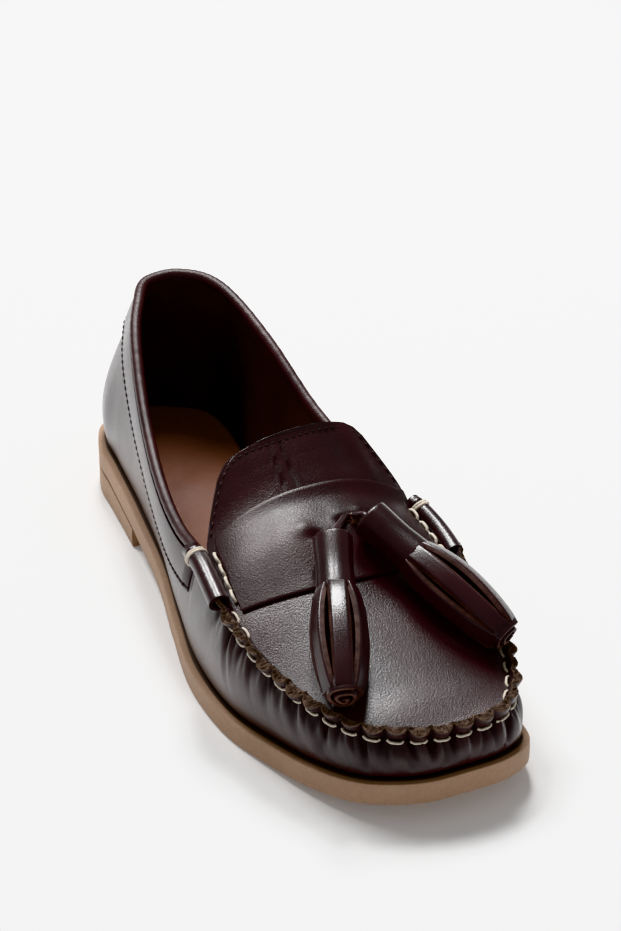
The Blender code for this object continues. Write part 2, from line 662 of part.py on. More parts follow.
def make_thong():
    """Short thong that comes out of the saddle's hole and runs into both sleeves."""
    radius = THONG_DIAMETER / 2.0
    ends = []
    for row in TASSEL_ROWS:
        rings = tassel_rings(row)
        start = rings[0].mean(axis=0)
        direction = unit(rings[1].mean(axis=0) - start)
        ends.append((start - direction * CLEARANCE, start - direction * 2.2 * THONG_DIAMETER))
    hole = np.array([THONG_HOLE[0] * LENGTH, THONG_HOLE[1] * BALL_WIDTH, 0.0])
    hole[2] = instep_height(hole[0], hole[1]) + SADDLE_WALL * 1.2 + 5.0 * CLEARANCE + radius
    knots = np.array([ends[0][0], ends[0][1], hole, ends[1][1], ends[1][0]])
    share = np.linspace(0.0, 1.0, 15)[:, None]
    weights = [math.comb(4, power) * share ** power * (1.0 - share) ** (4 - power) for power in range(5)]
    path = sum(weight * knot for weight, knot in zip(weights, knots))
    return add_loft("thong", tube_rings(path, radius, 8), "oxblood_leather")


def make_materials():
    for name, (colour, roughness, metallic) in MATERIALS.items():
        material = bpy.data.materials.new(name)
        material.use_nodes = True
        shader = material.node_tree.nodes["Principled BSDF"]
        shader.inputs["Base Color"].default_value = colour
        shader.inputs["Roughness"].default_value = roughness
        shader.inputs["Metallic"].default_value = metallic


def centre_on_floor(solids):
    """Move the whole part so that its box is centred over the origin and stands on the floor."""
    corners = np.array([vertex.co for solid in solids for vertex in solid.data.vertices])
    lowest, highest = corners.min(axis=0), corners.max(axis=0)
    shift = np.array([-(lowest[0] + highest[0]) / 2.0, -(lowest[1] + highest[1]) / 2.0, -lowest[2]])
    for solid in solids:
        for vertex in solid.data.vertices:
            vertex.co += type(vertex.co)(shift)


def main():
    for old in list(bpy.data.objects):
        bpy.data.objects.remove(old)
    make_materials()
    solids = [make_outsole(), make_heel(), make_insole(), make_upper(), make_plug_and_tongue(),
              make_saddle(), make_collar_binding(), make_collar_band(), make_backstay(), make_apron_seam(),
              make_barrel("barrel_lateral", False), make_barrel("barrel_medial", True), make_thong()]
    solids += [make_tassel(row) for row in TASSEL_ROWS]
    centre_on_floor(solids)


main()
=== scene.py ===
import math
import bmesh
import bpy
import mathutils
import numpy as np
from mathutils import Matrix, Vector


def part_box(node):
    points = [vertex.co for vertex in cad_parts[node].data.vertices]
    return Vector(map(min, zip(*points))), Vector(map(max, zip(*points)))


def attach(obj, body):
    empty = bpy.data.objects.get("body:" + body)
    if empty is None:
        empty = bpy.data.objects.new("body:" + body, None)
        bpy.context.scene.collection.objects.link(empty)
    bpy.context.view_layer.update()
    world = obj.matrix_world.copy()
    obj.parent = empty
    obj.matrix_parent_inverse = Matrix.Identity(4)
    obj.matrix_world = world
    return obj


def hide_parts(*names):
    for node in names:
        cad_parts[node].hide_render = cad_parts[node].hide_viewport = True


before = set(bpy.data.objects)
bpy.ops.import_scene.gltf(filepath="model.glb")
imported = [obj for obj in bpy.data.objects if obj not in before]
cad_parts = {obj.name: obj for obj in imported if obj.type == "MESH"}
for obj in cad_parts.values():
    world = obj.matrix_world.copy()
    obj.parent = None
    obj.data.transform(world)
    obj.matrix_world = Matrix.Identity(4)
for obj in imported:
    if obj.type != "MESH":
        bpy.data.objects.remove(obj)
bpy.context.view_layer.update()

chance = np.random.default_rng(7)

# The shoe's sizes in metres. Places are given as along (from the heel's back to the toe),
# across (positive towards the other foot) and height above the floor.
last = {
    "length": 0.257, "ballWidth": 0.0925, "outsole": 0.0089,
    "heelLength": 0.059, "heelBack": 0.0130, "heelBreast": 0.0085, "toeSpring": 0.0085,
    "shankEnd": 0.583, "springStart": 0.700,
    "collarRise": 0.0620, "seamRise": 0.0420, "instepRise": 0.0165, "crownFullness": 2.4,
    "wall": 0.0018, "featherInset": 0.0035, "gap": 0.0003,
    "binding": 0.0042, "bindingEnd": 0.556, "barrelRear": 0.566, "barrelFront": 0.672,
}
shoeLength, shoeWidth = last["length"], last["ballWidth"]
# sole along, sole across, top along, top across, rise, low bulge, high bulge, 1 = collar and 0 = seam
ribs = np.array([
    (0.000, 0.015, 0.038, 0.054, 1.025, 0.075, 0.030, 1),
    (0.021, 0.171, 0.047, 0.150, 1.040, 0.075, 0.030, 1),
    (0.059, 0.296, 0.080, 0.246, 1.045, 0.065, 0.030, 1),
    (0.125, 0.332, 0.135, 0.294, 1.025, 0.045, 0.025, 1),
    (0.233, 0.307, 0.230, 0.330, 0.935, 0.030, 0.020, 1),
    (0.370, 0.287, 0.350, 0.362, 0.810, 0.030, 0.015, 1),
    (0.486, 0.320, 0.467, 0.415, 0.725, 0.035, 0.020, 1),
    (0.602, 0.416, 0.584, 0.458, 0.930, 0.040, 0.030, 0),
    (0.707, 0.483, 0.693, 0.487, 0.765, 0.045, 0.045, 0),
    (0.809, 0.492, 0.790, 0.478, 0.670, 0.045, 0.050, 0),
    (0.902, 0.445, 0.875, 0.420, 0.545, 0.040, 0.050, 0),
    (0.966, 0.392, 0.930, 0.358, 0.465, 0.035, 0.045, 0),
    (0.996, 0.260, 0.967, 0.266, 0.405, 0.030, 0.045, 0),
    (1.000, 0.086, 0.975, 0.086, 0.385, 0.030, 0.045, 0),
    (0.993, -0.093, 0.962, -0.095, 0.405, 0.030, 0.045, 0),
    (0.950, -0.271, 0.926, -0.254, 0.475, 0.035, 0.045, 0),
    (0.884, -0.374, 0.864, -0.350, 0.580, 0.040, 0.050, 0),
    (0.795, -0.451, 0.782, -0.421, 0.725, 0.045, 0.055, 0),
    (0.700, -0.511, 0.700, -0.451, 0.865, 0.050, 0.060, 0),
    (0.588, -0.503, 0.588, -0.420, 1.020, 0.045, 0.045, 0),
    (0.472, -0.429, 0.471, -0.400, 0.650, 0.040, 0.030, 1),
    (0.358, -0.350, 0.358, -0.345, 0.670, 0.035, 0.020, 1),
    (0.233, -0.303, 0.237, -0.258, 0.775, 0.035, 0.015, 1),
    (0.126, -0.266, 0.136, -0.160, 0.935, 0.080, 0.015, 1),
    (0.069, -0.245, 0.078, -0.074, 1.000, 0.115, 0.015, 1),
    (0.021, -0.171, 0.046, -0.014, 1.015, 0.110, 0.020, 1),
])
# along, outer across, inner across, outer rise, inner rise of the tongue's free edge
tongueRows = np.array([
    (0.4980, -0.160, 0.230, 1.105, 1.140),
    (0.4995, -0.205, 0.275, 1.085, 1.120),
    (0.5040, -0.245, 0.315, 1.050, 1.085),
    (0.5120, -0.280, 0.345, 1.000, 1.035),
    (0.5260, -0.318, 0.380, 0.915, 0.945),
    (0.5450, -0.362, 0.420, 0.810, 0.835),
    (0.5620, -0.396, 0.450, 0.735, 0.745),
])
# along and height of the instep's crown over its edges
crownRows = np.array([
    (0.498, 0.12), (0.504, 0.24), (0.526, 0.52), (0.562, 0.86), (0.590, 0.92), (0.640, 0.86),
    (0.697, 0.70), (0.786, 0.50), (0.868, 0.31), (0.925, 0.15), (0.960, 0.04), (0.971, 0.00),
])
# shares of the way round at the toe and at the ribs where the seam starts and ends
toeTurn, innerEnd, outerEnd = 0.5, 7 / 26, 19 / 26
tiny = 1e-3      # step in turn or height for slopes
upwards = np.array([0.0, 0.0, 1.0])


# Curves and surfaces of the last

def smoothStep(low, high, value):
    share = np.clip((value - low) / (high - low), 0, 1)
    return share * share * (3 - 2 * share)


def fadeOut(low, high, value):
    return 1 - smoothStep(low, high, value)


def quarterRound(share, least=0):
    # height of a quarter circle: 0 at an edge, 1 where the rounding ends
    return np.sqrt(np.clip(1 - (1 - np.clip(share, 0, 1)) ** 2, least, 1))


def unit(vectors):
    return vectors / np.maximum(np.linalg.norm(vectors, axis=-1, keepdims=True), 1e-12)


def travelledAlong(points):
    # the way covered from the first point to each point of a line
    return np.concatenate([[0], np.cumsum(np.linalg.norm(np.diff(points, axis=0), axis=1))])


def closedCurve(rows, turn):
    # cubic through evenly spaced rows, once around for turn 0 to 1
    place = np.asarray(turn, float) * len(rows)
    first = np.floor(place).astype(int)
    t = (place - first)[..., None]
    before, start, end, after = (rows[(first + k) % len(rows)] for k in (-1, 0, 1, 2))
    slopeIn, slopeOut, rise = (end - before) / 2, (after - start) / 2, end - start
    bend = slopeIn + slopeOut - 2 * rise
    return start + t * (slopeIn + t * (3 * rise - 2 * slopeIn - slopeOut + t * bend))


def soleBottom(along):
    seat = last["heelBreast"] + (last["heelBack"] - last["heelBreast"]) * (1 - along / last["heelLength"])
    shankLength = last["shankEnd"] * shoeLength - last["heelLength"]
    shank = np.clip((along - last["heelLength"]) / shankLength, 0, 1)
    spring = np.clip((along / shoeLength - last["springStart"]) / (1 - last["springStart"]), 0, None)
    return (np.where(along < last["heelLength"], seat, last["heelBreast"] * (1 - shank) ** 1.8)
            + last["toeSpring"] * spring ** 2)


def soleTop(along):
    return soleBottom(along) + last["outsole"]


ribSoleAlong, ribSoleAcross, ribTopAlong, ribTopAcross, ribRise, lowBulge, highBulge, onCollar = ribs.T
soleRows = np.stack([ribSoleAlong * shoeLength, ribSoleAcross * shoeWidth], -1)
bulgeRows = np.stack([lowBulge, highBulge], -1) * shoeWidth
topAlong = ribTopAlong * shoeLength
topRise = ribRise * np.where(onCollar > 0, last["collarRise"], last["seamRise"])
topRows = np.stack([topAlong, ribTopAcross * shoeWidth, soleTop(topAlong) + topRise], -1)


def planNormal(turn):
    tangent = closedCurve(soleRows, turn + tiny) - closedCurve(soleRows, turn - tiny)
    return unit(np.stack([-tangent[..., 1], tangent[..., 0]], -1))


def outwardAt(turn):
    return np.concatenate([planNormal(turn), np.zeros(np.shape(turn) + (1,))], -1)


def insetOutline(turn, inset):
    return closedCurve(soleRows, turn) - planNormal(turn) * np.asarray(inset)[..., None]


def topLine(turn):
    return closedCurve(topRows, turn)


def collarShare(along):
    # 1 beside the collar, 0 from the barrels forward
    return fadeOut(last["bindingEnd"] * shoeLength, last["barrelRear"] * shoeLength, along)


def upperEdge(turn):
    # the wall's own top: the binding's thickness lower than the topline along the collar
    edge = topLine(turn)
    edge[..., 2] -= collarShare(edge[..., 0]) * (last["binding"] + last["gap"])
    return edge


def upperSurface(turn, height):
    # cubic from the feather edge to the top edge, its two middle points pushed outwards
    turn, height = np.broadcast_arrays(np.asarray(turn, float), np.asarray(height, float))
    plan = insetOutline(turn, last["featherInset"])
    foot = np.concatenate([plan, (soleTop(plan[..., 0]) + last["gap"])[..., None]], -1)
    top = upperEdge(turn)
    outward, bulge = outwardAt(turn), closedCurve(bulgeRows, turn)
    low = foot + (top - foot) / 3 + outward * bulge[..., :1]
    high = foot + (top - foot) * 2 / 3 + outward * bulge[..., 1:]
    v = height[..., None]
    return (1 - v) ** 3 * foot + 3 * (1 - v) ** 2 * v * low + 3 * (1 - v) * v ** 2 * high + v ** 3 * top


def upperNormal(turn, height):
    turn, height = np.broadcast_arrays(np.asarray(turn, float), np.asarray(height, float))
    around = upperSurface(turn + tiny, height) - upperSurface(turn - tiny, height)
    above, below = np.clip(height + tiny, 0, 1), np.clip(height - tiny, 0, 1)
    normal = unit(-np.cross(around, upperSurface(turn, above) - upperSurface(turn, below)))
    outward = np.sum(normal[..., :2] * planNormal(turn), -1, keepdims=True)
    return np.where(outward < 0, -normal, normal)


def seamSide(end):
    points = topLine(np.linspace(toeTurn, end, 600))
    return points[np.argsort(points[:, 0])]


tongueAlong = tongueRows[:, 0] * shoeLength
tongueHeights = [soleTop(tongueAlong) + tongueRows[:, k] * last["collarRise"] for k in (3, 4)]
freeEdges = [np.stack([tongueAlong, tongueRows[:, k + 1] * shoeWidth, tongueHeights[k]], -1) for k in (0, 1)]
instepSides = [np.concatenate([free, seamSide(end)]) for free, end in zip(freeEdges, (outerEnd, innerEnd))]


# crown and edge heights averaged along the foot under a bell curve, so that no fold shows
bellGrid = np.linspace(0.30, 1.10, 1601)
bell = np.exp(-np.linspace(-2.6, 2.6, 121) ** 2)


def softened(rows, values):
    return np.convolve(np.interp(bellGrid, rows, values), bell / bell.sum(), "same")


softCrown = softened(*crownRows.T)
softEdges = [[softened(side[:, 0] / shoeLength, side[:, k]) for k in (1, 2)] for side in instepSides]


def instepEdges(along):
    # the averaged edges count where tongue and seam meet, the true ones towards both ends
    place = along / shoeLength
    soft = smoothStep(0.515, 0.545, place) * fadeOut(0.66, 0.72, place)
    return [[np.interp(along, side[:, 0], own) * (1 - soft) + np.interp(place, bellGrid, averaged) * soft
             for own, averaged in zip(side[:, 1:].T, edges)] for side, edges in zip(instepSides, softEdges)]


def instepHeight(along, across):
    (outerAcross, outerHeight), (innerAcross, innerHeight) = instepEdges(along)
    share = np.clip((across - outerAcross) / np.maximum(innerAcross - outerAcross, 1e-6), 0, 1)
    crown = last["instepRise"] * np.interp(along / shoeLength, bellGrid, softCrown)
    return (outerHeight + (innerHeight - outerHeight) * share
            + crown * (1 - np.abs(2 * share - 1) ** last["crownFullness"]))


def onInstep(along, across, rise=0.0):
    return np.stack([along, across, instepHeight(along, across) + rise], -1)


def instepNormal(along, across):
    step = 0.0012
    slopeAlong = (instepHeight(along + step, across) - instepHeight(along - step, across)) / (2 * step)
    slopeAcross = (instepHeight(along, across + step) - instepHeight(along, across - step)) / (2 * step)
    return unit(np.stack([-slopeAlong, -slopeAcross, np.ones_like(slopeAlong)], -1))


def turnAt(along, innerSide):
    turns = np.linspace(0.02, 0.5, 800) if innerSide else np.linspace(0.98, 0.5, 800)
    return float(np.interp(along, topLine(turns)[:, 0], turns))


def seamNormal(turn):
    # half way between the faces of wrap and apron
    point, plan = topLine(turn), planNormal(turn)
    inner = point[..., :2] - plan * 0.004
    rise = (instepHeight(inner[..., 0], inner[..., 1]) - point[..., 2]) / 0.004
    apron = unit(np.concatenate([plan * rise[..., None], np.ones(np.shape(turn) + (1,))], -1))
    return unit(upperNormal(turn, np.full(np.shape(turn), 0.97)) + apron)


# The seam's stations, evenly spaced along its length between the barrels' front ends

seamTurns = np.linspace(turnAt(last["barrelFront"] * shoeLength, True),
                        turnAt(last["barrelFront"] * shoeLength, False), 3000)
seamLength = travelledAlong(topLine(seamTurns))


def seamTurn(distance):
    return np.interp(distance, seamLength, seamTurns)


def seamDistance(turn):
    # beyond the barrels the distance goes on at the same rate
    rate = seamLength[-1] / (seamTurns[-1] - seamTurns[0])
    inside = np.interp(turn, seamTurns, seamLength)
    return inside + np.where(turn < seamTurns[0], turn - seamTurns[0], 0) * rate \
        + np.where(turn > seamTurns[-1], turn - seamTurns[-1], 0) * rate


# Where the shoe stands: its own directions turned into the frame's, from the outsole's box

outline = closedCurve(soleRows, np.arange(84) / 84)
soleLow, soleHigh = (np.array(corner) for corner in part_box("outsole"))
shiftX = (soleLow[0] + soleHigh[0]) / 2 - (outline[:, 1].min() + outline[:, 1].max()) / 2
shiftY = (soleLow[1] + soleHigh[1]) / 2 + (outline[:, 0].min() + outline[:, 0].max()) / 2


def toFrame(points):
    points = np.asarray(points, float)
    return np.stack([points[..., 1] + shiftX, shiftY - points[..., 0], points[..., 2]], -1)


# Making meshes from arrays

def gridFaces(rows, columns, around, start=0):
    r, c = np.meshgrid(np.arange(rows - 1), np.arange(columns if around else columns - 1), indexing="ij")
    here, there = start + r * columns + c, start + r * columns + (c + 1) % columns
    return np.stack([here, there, there + columns, here + columns], -1).reshape(-1, 4)


def buildMesh(name, points, faces, material, hollow=None, slots=None):
    # points in the shoe's directions; the point mark says how much painted shade darkens and dulls the
    # material at each point
    mesh = bpy.data.meshes.new(name)
    mesh.from_pydata(toFrame(points).reshape(-1, 3).tolist(), [], [list(f) for f in faces])
    if hollow is not None:
        mark = mesh.attributes.new("hollow", "FLOAT", "POINT")
        mark.data.foreach_set("value", np.clip(np.asarray(hollow, float), 0, 1).ravel())
    for one in material if isinstance(material, (list, tuple)) else [material]:
        mesh.materials.append(one)
    if slots is not None:
        mesh.polygons.foreach_set("material_index", np.asarray(slots, int))
    work = bmesh.new()
    work.from_mesh(mesh)
    bmesh.ops.remove_doubles(work, verts=work.verts, dist=1e-7)
    bmesh.ops.recalc_face_normals(work, faces=work.faces)
    work.to_mesh(mesh)
    work.free()
    mesh.shade_smooth()
    mesh.set_sharp_from_angle(angle=math.radians(60))
    piece = bpy.data.objects.new(name, mesh)
    bpy.context.scene.collection.objects.link(piece)
    return piece


def addWall(name, outer, inner, around, material, hollow=None, innerSlot=0, rimSlot=0):
    # two grids of one size, closed along all their free edges
    rows, columns = outer.shape[:2]
    size = rows * columns
    outside, inside = gridFaces(rows, columns, around), gridFaces(rows, columns, around, size)[:, ::-1]
    c = np.arange(columns if around else columns - 1)
    n = (c + 1) % columns
    bottom = (rows - 1) * columns
    rims = [np.stack([n, c, size + c, size + n], -1),
            np.stack([bottom + c, bottom + n, size + bottom + n, size + bottom + c], -1)]
    if not around:
        r = np.arange(rows - 1) * columns
        rims += [np.stack([r + k, r + k + columns, size + r + k + columns, size + r + k], -1)
                 for k in (0, columns - 1)]
    faces = np.concatenate([outside, inside] + rims)
    slots = np.concatenate([np.zeros(len(outside)), np.full(len(inside), innerSlot),
                            np.full(sum(len(rim) for rim in rims), rimSlot)])
    both = None if hollow is None else np.tile(np.ravel(hollow), 2)
    points = np.concatenate([outer.reshape(-1, 3), inner.reshape(-1, 3)])
    return buildMesh(name, points, faces, material, both, slots)


def addLoft(name, rings, material, hollow=None, columnSlots=None):
    # rings of points closed with flat ends; columnSlots gives the material of each column of faces
    rows, columns = rings.shape[:2]
    faces = gridFaces(rows, columns, True).tolist()
    faces += [list(range(columns))[::-1], list(range((rows - 1) * columns, rows * columns))]
    slots = None if columnSlots is None else np.concatenate([np.tile(columnSlots, rows - 1), [0, 0]])
    return buildMesh(name, rings.reshape(-1, 3), faces, material, hollow, slots)


def pathFrame(path, upHint):
    tangent = unit(np.gradient(path, axis=-2))
    side = unit(np.cross(tangent, upHint))
    return tangent, side, np.cross(side, tangent)


def tubeRings(path, radius, sides, upHint=(0.0, 0.0, 1.0)):
    # a ring square to the path at each of its points
    _, side, up = pathFrame(path, np.broadcast_to(np.asarray(upHint, float), path.shape))
    angle = np.arange(sides) * 2 * math.pi / sides
    circle = np.cos(angle)[:, None] * up[..., None, :] + np.sin(angle)[:, None] * side[..., None, :]
    radius = np.broadcast_to(np.asarray(radius, float), path.shape[:-1])
    return path[..., None, :] + circle * radius[..., None, None]


def addStitches(name, starts, ends, lifts, thread, rise, material, steps=7, sides=6):
    # each stitch is a short tube that leaves the leather, arches along its lift and goes back in
    t = np.linspace(0, 1, steps)[None, :, None]
    arch = (1 - (2 * t - 1) ** 4) * (rise + thread) - thread
    path = starts[:, None] * (1 - t) + ends[:, None] * t + lifts[:, None] * arch
    rings = tubeRings(path, thread / 2, sides, lifts[:, None])
    count = len(starts)
    one = gridFaces(steps, sides, True)
    caps = [list(range(sides))[::-1], list(range((steps - 1) * sides, steps * sides))]
    faces = [[i + k * steps * sides for i in f] for k in range(count) for f in one.tolist() + caps]
    return buildMesh(name, rings.reshape(-1, 3), faces, material)


def finishPiece(piece, slot, *nodes):
    # nodes are those of the source that the piece stands for
    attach(piece, "root")
    if nodes:
        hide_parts(*nodes)


# Materials

def newMaterial(name):
    material = bpy.data.materials.new(name)
    material.use_nodes = True
    return material, material.node_tree, material.node_tree.nodes["Principled BSDF"]


def noiseOf(tree, scale, detail, roughness, stretch=None):
    place = tree.nodes.new("ShaderNodeTexCoord").outputs["Object"]
    if stretch:
        mapping = tree.nodes.new("ShaderNodeMapping")
        mapping.inputs["Scale"].default_value = stretch
        tree.links.new(place, mapping.inputs["Vector"])
        place = mapping.outputs["Vector"]
    noise = tree.nodes.new("ShaderNodeTexNoise")
    for socket, value in (("Scale", scale), ("Detail", detail), ("Roughness", roughness)):
        noise.inputs[socket].default_value = value
    tree.links.new(place, noise.inputs["Vector"])
    return noise.outputs["Fac"]


def rampOf(tree, source, stops):
    ramp = tree.nodes.new("ShaderNodeValToRGB")
    while len(ramp.color_ramp.elements) < len(stops):
        ramp.color_ramp.elements.new(0.5)
    for element, (place, colour) in zip(ramp.color_ramp.elements, stops):
        element.position = place
        element.color = (*colour, 1) if isinstance(colour, tuple) else (colour, colour, colour, 1)
    tree.links.new(source, ramp.inputs["Fac"])
    return ramp.outputs["Color"]


def mixOf(tree, factor, first, second, mode="MIX"):
    mix = tree.nodes.new("ShaderNodeMix")
    mix.data_type = "RGBA"
    mix.blend_type = mode
    for socket, value in ((mix.inputs[0], factor), (mix.inputs[6], first), (mix.inputs[7], second)):
        if isinstance(value, bpy.types.NodeSocket):
            tree.links.new(value, socket)
        else:
            socket.default_value = (*value, 1) if isinstance(value, tuple) else value
    return mix.outputs[2]


def bumpOf(tree, height, strength, distance, before=None):
    bump = tree.nodes.new("ShaderNodeBump")
    bump.inputs["Strength"].default_value = strength
    bump.inputs["Distance"].default_value = distance
    tree.links.new(height, bump.inputs["Height"])
    if before:
        tree.links.new(before, bump.inputs["Normal"])
    return bump.outputs["Normal"]


def hollowOf(tree):
    # reads the point mark of painted shade that each mesh carries
    mark = tree.nodes.new("ShaderNodeAttribute")
    mark.attribute_name = "hollow"
    return mark.outputs["Fac"]


# deep and light are the leather's tones; the third tone is the near-black of painted shade
oxblood = {
    "deep": (0.0165, 0.0058, 0.0068), "light": (0.0410, 0.0140, 0.0158), "hollow": (0.003, 0.0012, 0.0014),
    "cloudScale": 30, "smooth": 0.27, "dull": 0.36, "poreScale": 4200, "poreDepth": 0.35,
    "grainScale": 1700, "grainDepth": 0.38, "waveScale": 120, "waveDepth": 0.05,
    "specular": 0.45, "coat": 0.55, "coatRoughness": 0.17,
}


def makeLeather(name, **changes):
    # oxblood with some changes: colour clouds between two tones, with painted shade that darkens and dulls
    # the points the mark sets;
    # grain, pores and a soft orange-peel in the bump; cloudy gloss under a thin coat of polish
    look = {**oxblood, **changes}
    material, tree, shader = newMaterial(name)
    hollow = hollowOf(tree)
    clouds = noiseOf(tree, look["cloudScale"], 4, 0.6)
    colour = rampOf(tree, clouds, [(0.35, look["deep"]), (0.68, look["light"])])
    # painted shade: where the mark is set, the colour goes to a near-black tone and the gloss and coat fade
    tree.links.new(mixOf(tree, hollow, colour, look["hollow"]), shader.inputs["Base Color"])
    glossClouds = noiseOf(tree, look["cloudScale"] * 2.3, 5, 0.65)
    gloss = rampOf(tree, glossClouds, [(0.3, look["smooth"]), (0.75, look["dull"])])
    tree.links.new(mixOf(tree, hollow, gloss, (0.95, 0.95, 0.95)), shader.inputs["Roughness"])
    tree.links.new(rampOf(tree, hollow, [(0.0, look["coat"]), (0.8, 0.0)]), shader.inputs["Coat Weight"])
    normal = bumpOf(tree, noiseOf(tree, look["waveScale"], 2, 0.5), look["waveDepth"], 0.0015)
    normal = bumpOf(tree, noiseOf(tree, look["grainScale"], 2, 0.6), look["grainDepth"], 0.0003, normal)
    tree.links.new(normal, shader.inputs["Coat Normal"])
    normal = bumpOf(tree, noiseOf(tree, look["poreScale"], 3, 0.7), look["poreDepth"], 0.0002, normal)
    tree.links.new(normal, shader.inputs["Normal"])
    shader.inputs["Specular IOR Level"].default_value = look["specular"]
    shader.inputs["Coat Roughness"].default_value = look["coatRoughness"]
    shader.inputs["Coat IOR"].default_value = 1.5
    return material


leather = makeLeather("oxblood_leather")
saddleLeather = makeLeather(
    "saddle_leather", smooth=0.33, dull=0.42, specular=0.36, coatRoughness=0.20, coat=0.26)
tasselLeather = makeLeather("tassel_leather", grainDepth=0.20, coatRoughness=0.14, coat=0.6)
bindingLeather = makeLeather(
    "binding_leather", deep=(0.028, 0.0095, 0.010), light=(0.062, 0.0225, 0.023), smooth=0.38, dull=0.48,
    coat=0.25, coatRoughness=0.32)
lining = makeLeather(
    "lining_leather", deep=(0.024, 0.0100, 0.008), light=(0.050, 0.0200, 0.0155), smooth=0.55, dull=0.75,
    coat=0.0, specular=0.25)
insoleLeather = makeLeather(
    "insole_leather", deep=(0.190, 0.076, 0.044), light=(0.255, 0.108, 0.068), hollow=(0.03, 0.01, 0.006),
    smooth=0.45, dull=0.62, coat=0.05, specular=0.4, cloudScale=22)
rawEdge = makeLeather(
    "raw_edge", deep=(0.050, 0.034, 0.027), light=(0.200, 0.142, 0.112), hollow=(0.010, 0.006, 0.005),
    smooth=0.8, dull=0.95, coat=0.0, specular=0.2, cloudScale=420, poreScale=1500, poreDepth=1.0,
    grainDepth=1.0)
stripEdge = makeLeather(
    "strip_edge", deep=(0.038, 0.020, 0.017), light=(0.105, 0.060, 0.052), hollow=(0.008, 0.003, 0.003),
    smooth=0.55, dull=0.75, coat=0.0, specular=0.3, cloudScale=260)
# painted light: a lighter copy of the strips' cut edge, for the rolled end that the lamps hardly reach
rollEdgePaintedLight = makeLeather(
    "roll_edge_painted_light", deep=(0.070, 0.038, 0.033), light=(0.170, 0.105, 0.090), smooth=0.5, dull=0.7, coat=0.0,
    specular=0.3, cloudScale=260)
cutEdge = makeLeather(
    "cut_edge", deep=(0.130, 0.080, 0.056), light=(0.260, 0.175, 0.125), smooth=0.5, dull=0.7, coat=0.0,
    specular=0.3, cloudScale=300)


def makeThread(name, dark, light):
    # fibre: fine mottling between two tones, which is its bump too
    material, tree, shader = newMaterial(name)
    fibres = noiseOf(tree, 900, 4, 0.7)
    tree.links.new(rampOf(tree, fibres, [(0.3, dark), (0.7, light)]), shader.inputs["Base Color"])
    tree.links.new(bumpOf(tree, fibres, 0.6, 0.0003), shader.inputs["Normal"])
    shader.inputs["Roughness"].default_value = 0.55
    return material


creamThread = makeThread("cream_thread", (0.52, 0.44, 0.35), (0.88, 0.80, 0.69))
darkThread = makeThread("dark_thread", (0.010, 0.005, 0.005), (0.040, 0.020, 0.018))
fuzz = makeThread("leather_fibre", (0.10, 0.040, 0.030), (0.30, 0.140, 0.105))


def makeRubber():
    # warm tan rubber: mottled colour, faint drag lines along the side and a fine matte grain
    material, tree, shader = newMaterial("tan_rubber")
    clouds = noiseOf(tree, 30, 5, 0.6)
    specks = noiseOf(tree, 700, 3, 0.6)
    colour = rampOf(tree, clouds, [(0.3, (0.355, 0.224, 0.144)), (0.7, (0.446, 0.291, 0.196))])
    colour = mixOf(tree, 0.16, colour, specks, "OVERLAY")
    # painted shade: marked points turn a near-black brown
    colour = mixOf(tree, hollowOf(tree), colour, (0.030, 0.016, 0.011))
    tree.links.new(colour, shader.inputs["Base Color"])
    normal = bumpOf(tree, noiseOf(tree, 90, 4, 0.6, (1, 1, 22)), 0.10, 0.0006)
    tree.links.new(bumpOf(tree, specks, 0.20, 0.0002, normal), shader.inputs["Normal"])
    tree.links.new(rampOf(tree, clouds, [(0.3, 0.50), (0.8, 0.68)]), shader.inputs["Roughness"])
    return material


rubber = makeRubber()
print("materials made")


# Upper: wrap and quarters, puckered below the seam

wrap = {
    "columns": 1060, "rows": 42, "toeCrowding": 1.3, "toeFrom": (0.20, 0.27), "pullDepth": 0.0014,
    "pullReach": 0.0065, "footTuck": 0.0007, "footRise": 0.0020, "shadeDepth": 0.0018, "pastSeam": 0.006,
    # puckers by kind: count, depth, narrowest, widest, shortest, longest, slant
    "puckers": [(44, 0.00110, 0.0012, 0.0022, 0.009, 0.019, 0.32),
                (110, 0.00070, 0.0007, 0.0012, 0.006, 0.014, 0.30),
                (230, 0.00024, 0.0004, 0.0007, 0.004, 0.011, 0.24)],
}
seamStart, scallopPitch = 0.0019, 0.0078
scallops = round((seamLength[-1] - 2 * seamStart) / scallopPitch)
scallopPitch = (seamLength[-1] - 2 * seamStart) / scallops


def puckers(distance, below):
    # soft troughs square to the seam, each with its own place, reach, width, slant and depth, and
    # a deeper pull at every hole between two stitches that fades a few millimetres below the seam
    field = np.zeros_like(distance)
    for count, deepest, narrow, wide, short, long, slantMost in wrap["puckers"]:
        spots = np.arange(count) + chance.uniform(-0.45, 0.45, count)
        places = spots * (seamLength[-1] + 2 * wrap["pastSeam"]) / count - wrap["pastSeam"]
        depths = deepest * chance.uniform(0.35, 1.0, count)
        reaches = chance.uniform(short, long, count)
        widths = chance.uniform(narrow, wide, count)
        slants = chance.uniform(-slantMost, slantMost, count)
        for place, depth, reach, width, slant in zip(places, depths, reaches, widths, slants):
            off = (distance - place - slant * below) / (width * (1 + below / reach * 0.5))
            fade = np.clip(below / 0.0022, 0, 1) * np.exp(-(below / reach) ** 2.2)
            field += depth * fade * (0.35 * np.exp(-(off - 1.6) ** 2) - np.exp(-off ** 2))
    inSeam = smoothStep(-0.004, 0.004, distance) * smoothStep(-0.004, 0.004, seamLength[-1] - distance)
    pull = (0.5 + 0.5 * np.cos(2 * math.pi * (distance - seamStart) / scallopPitch)) ** 2
    field -= wrap["pullDepth"] * pull * inSeam * np.exp(-(below / wrap["pullReach"]) ** 2)
    return field


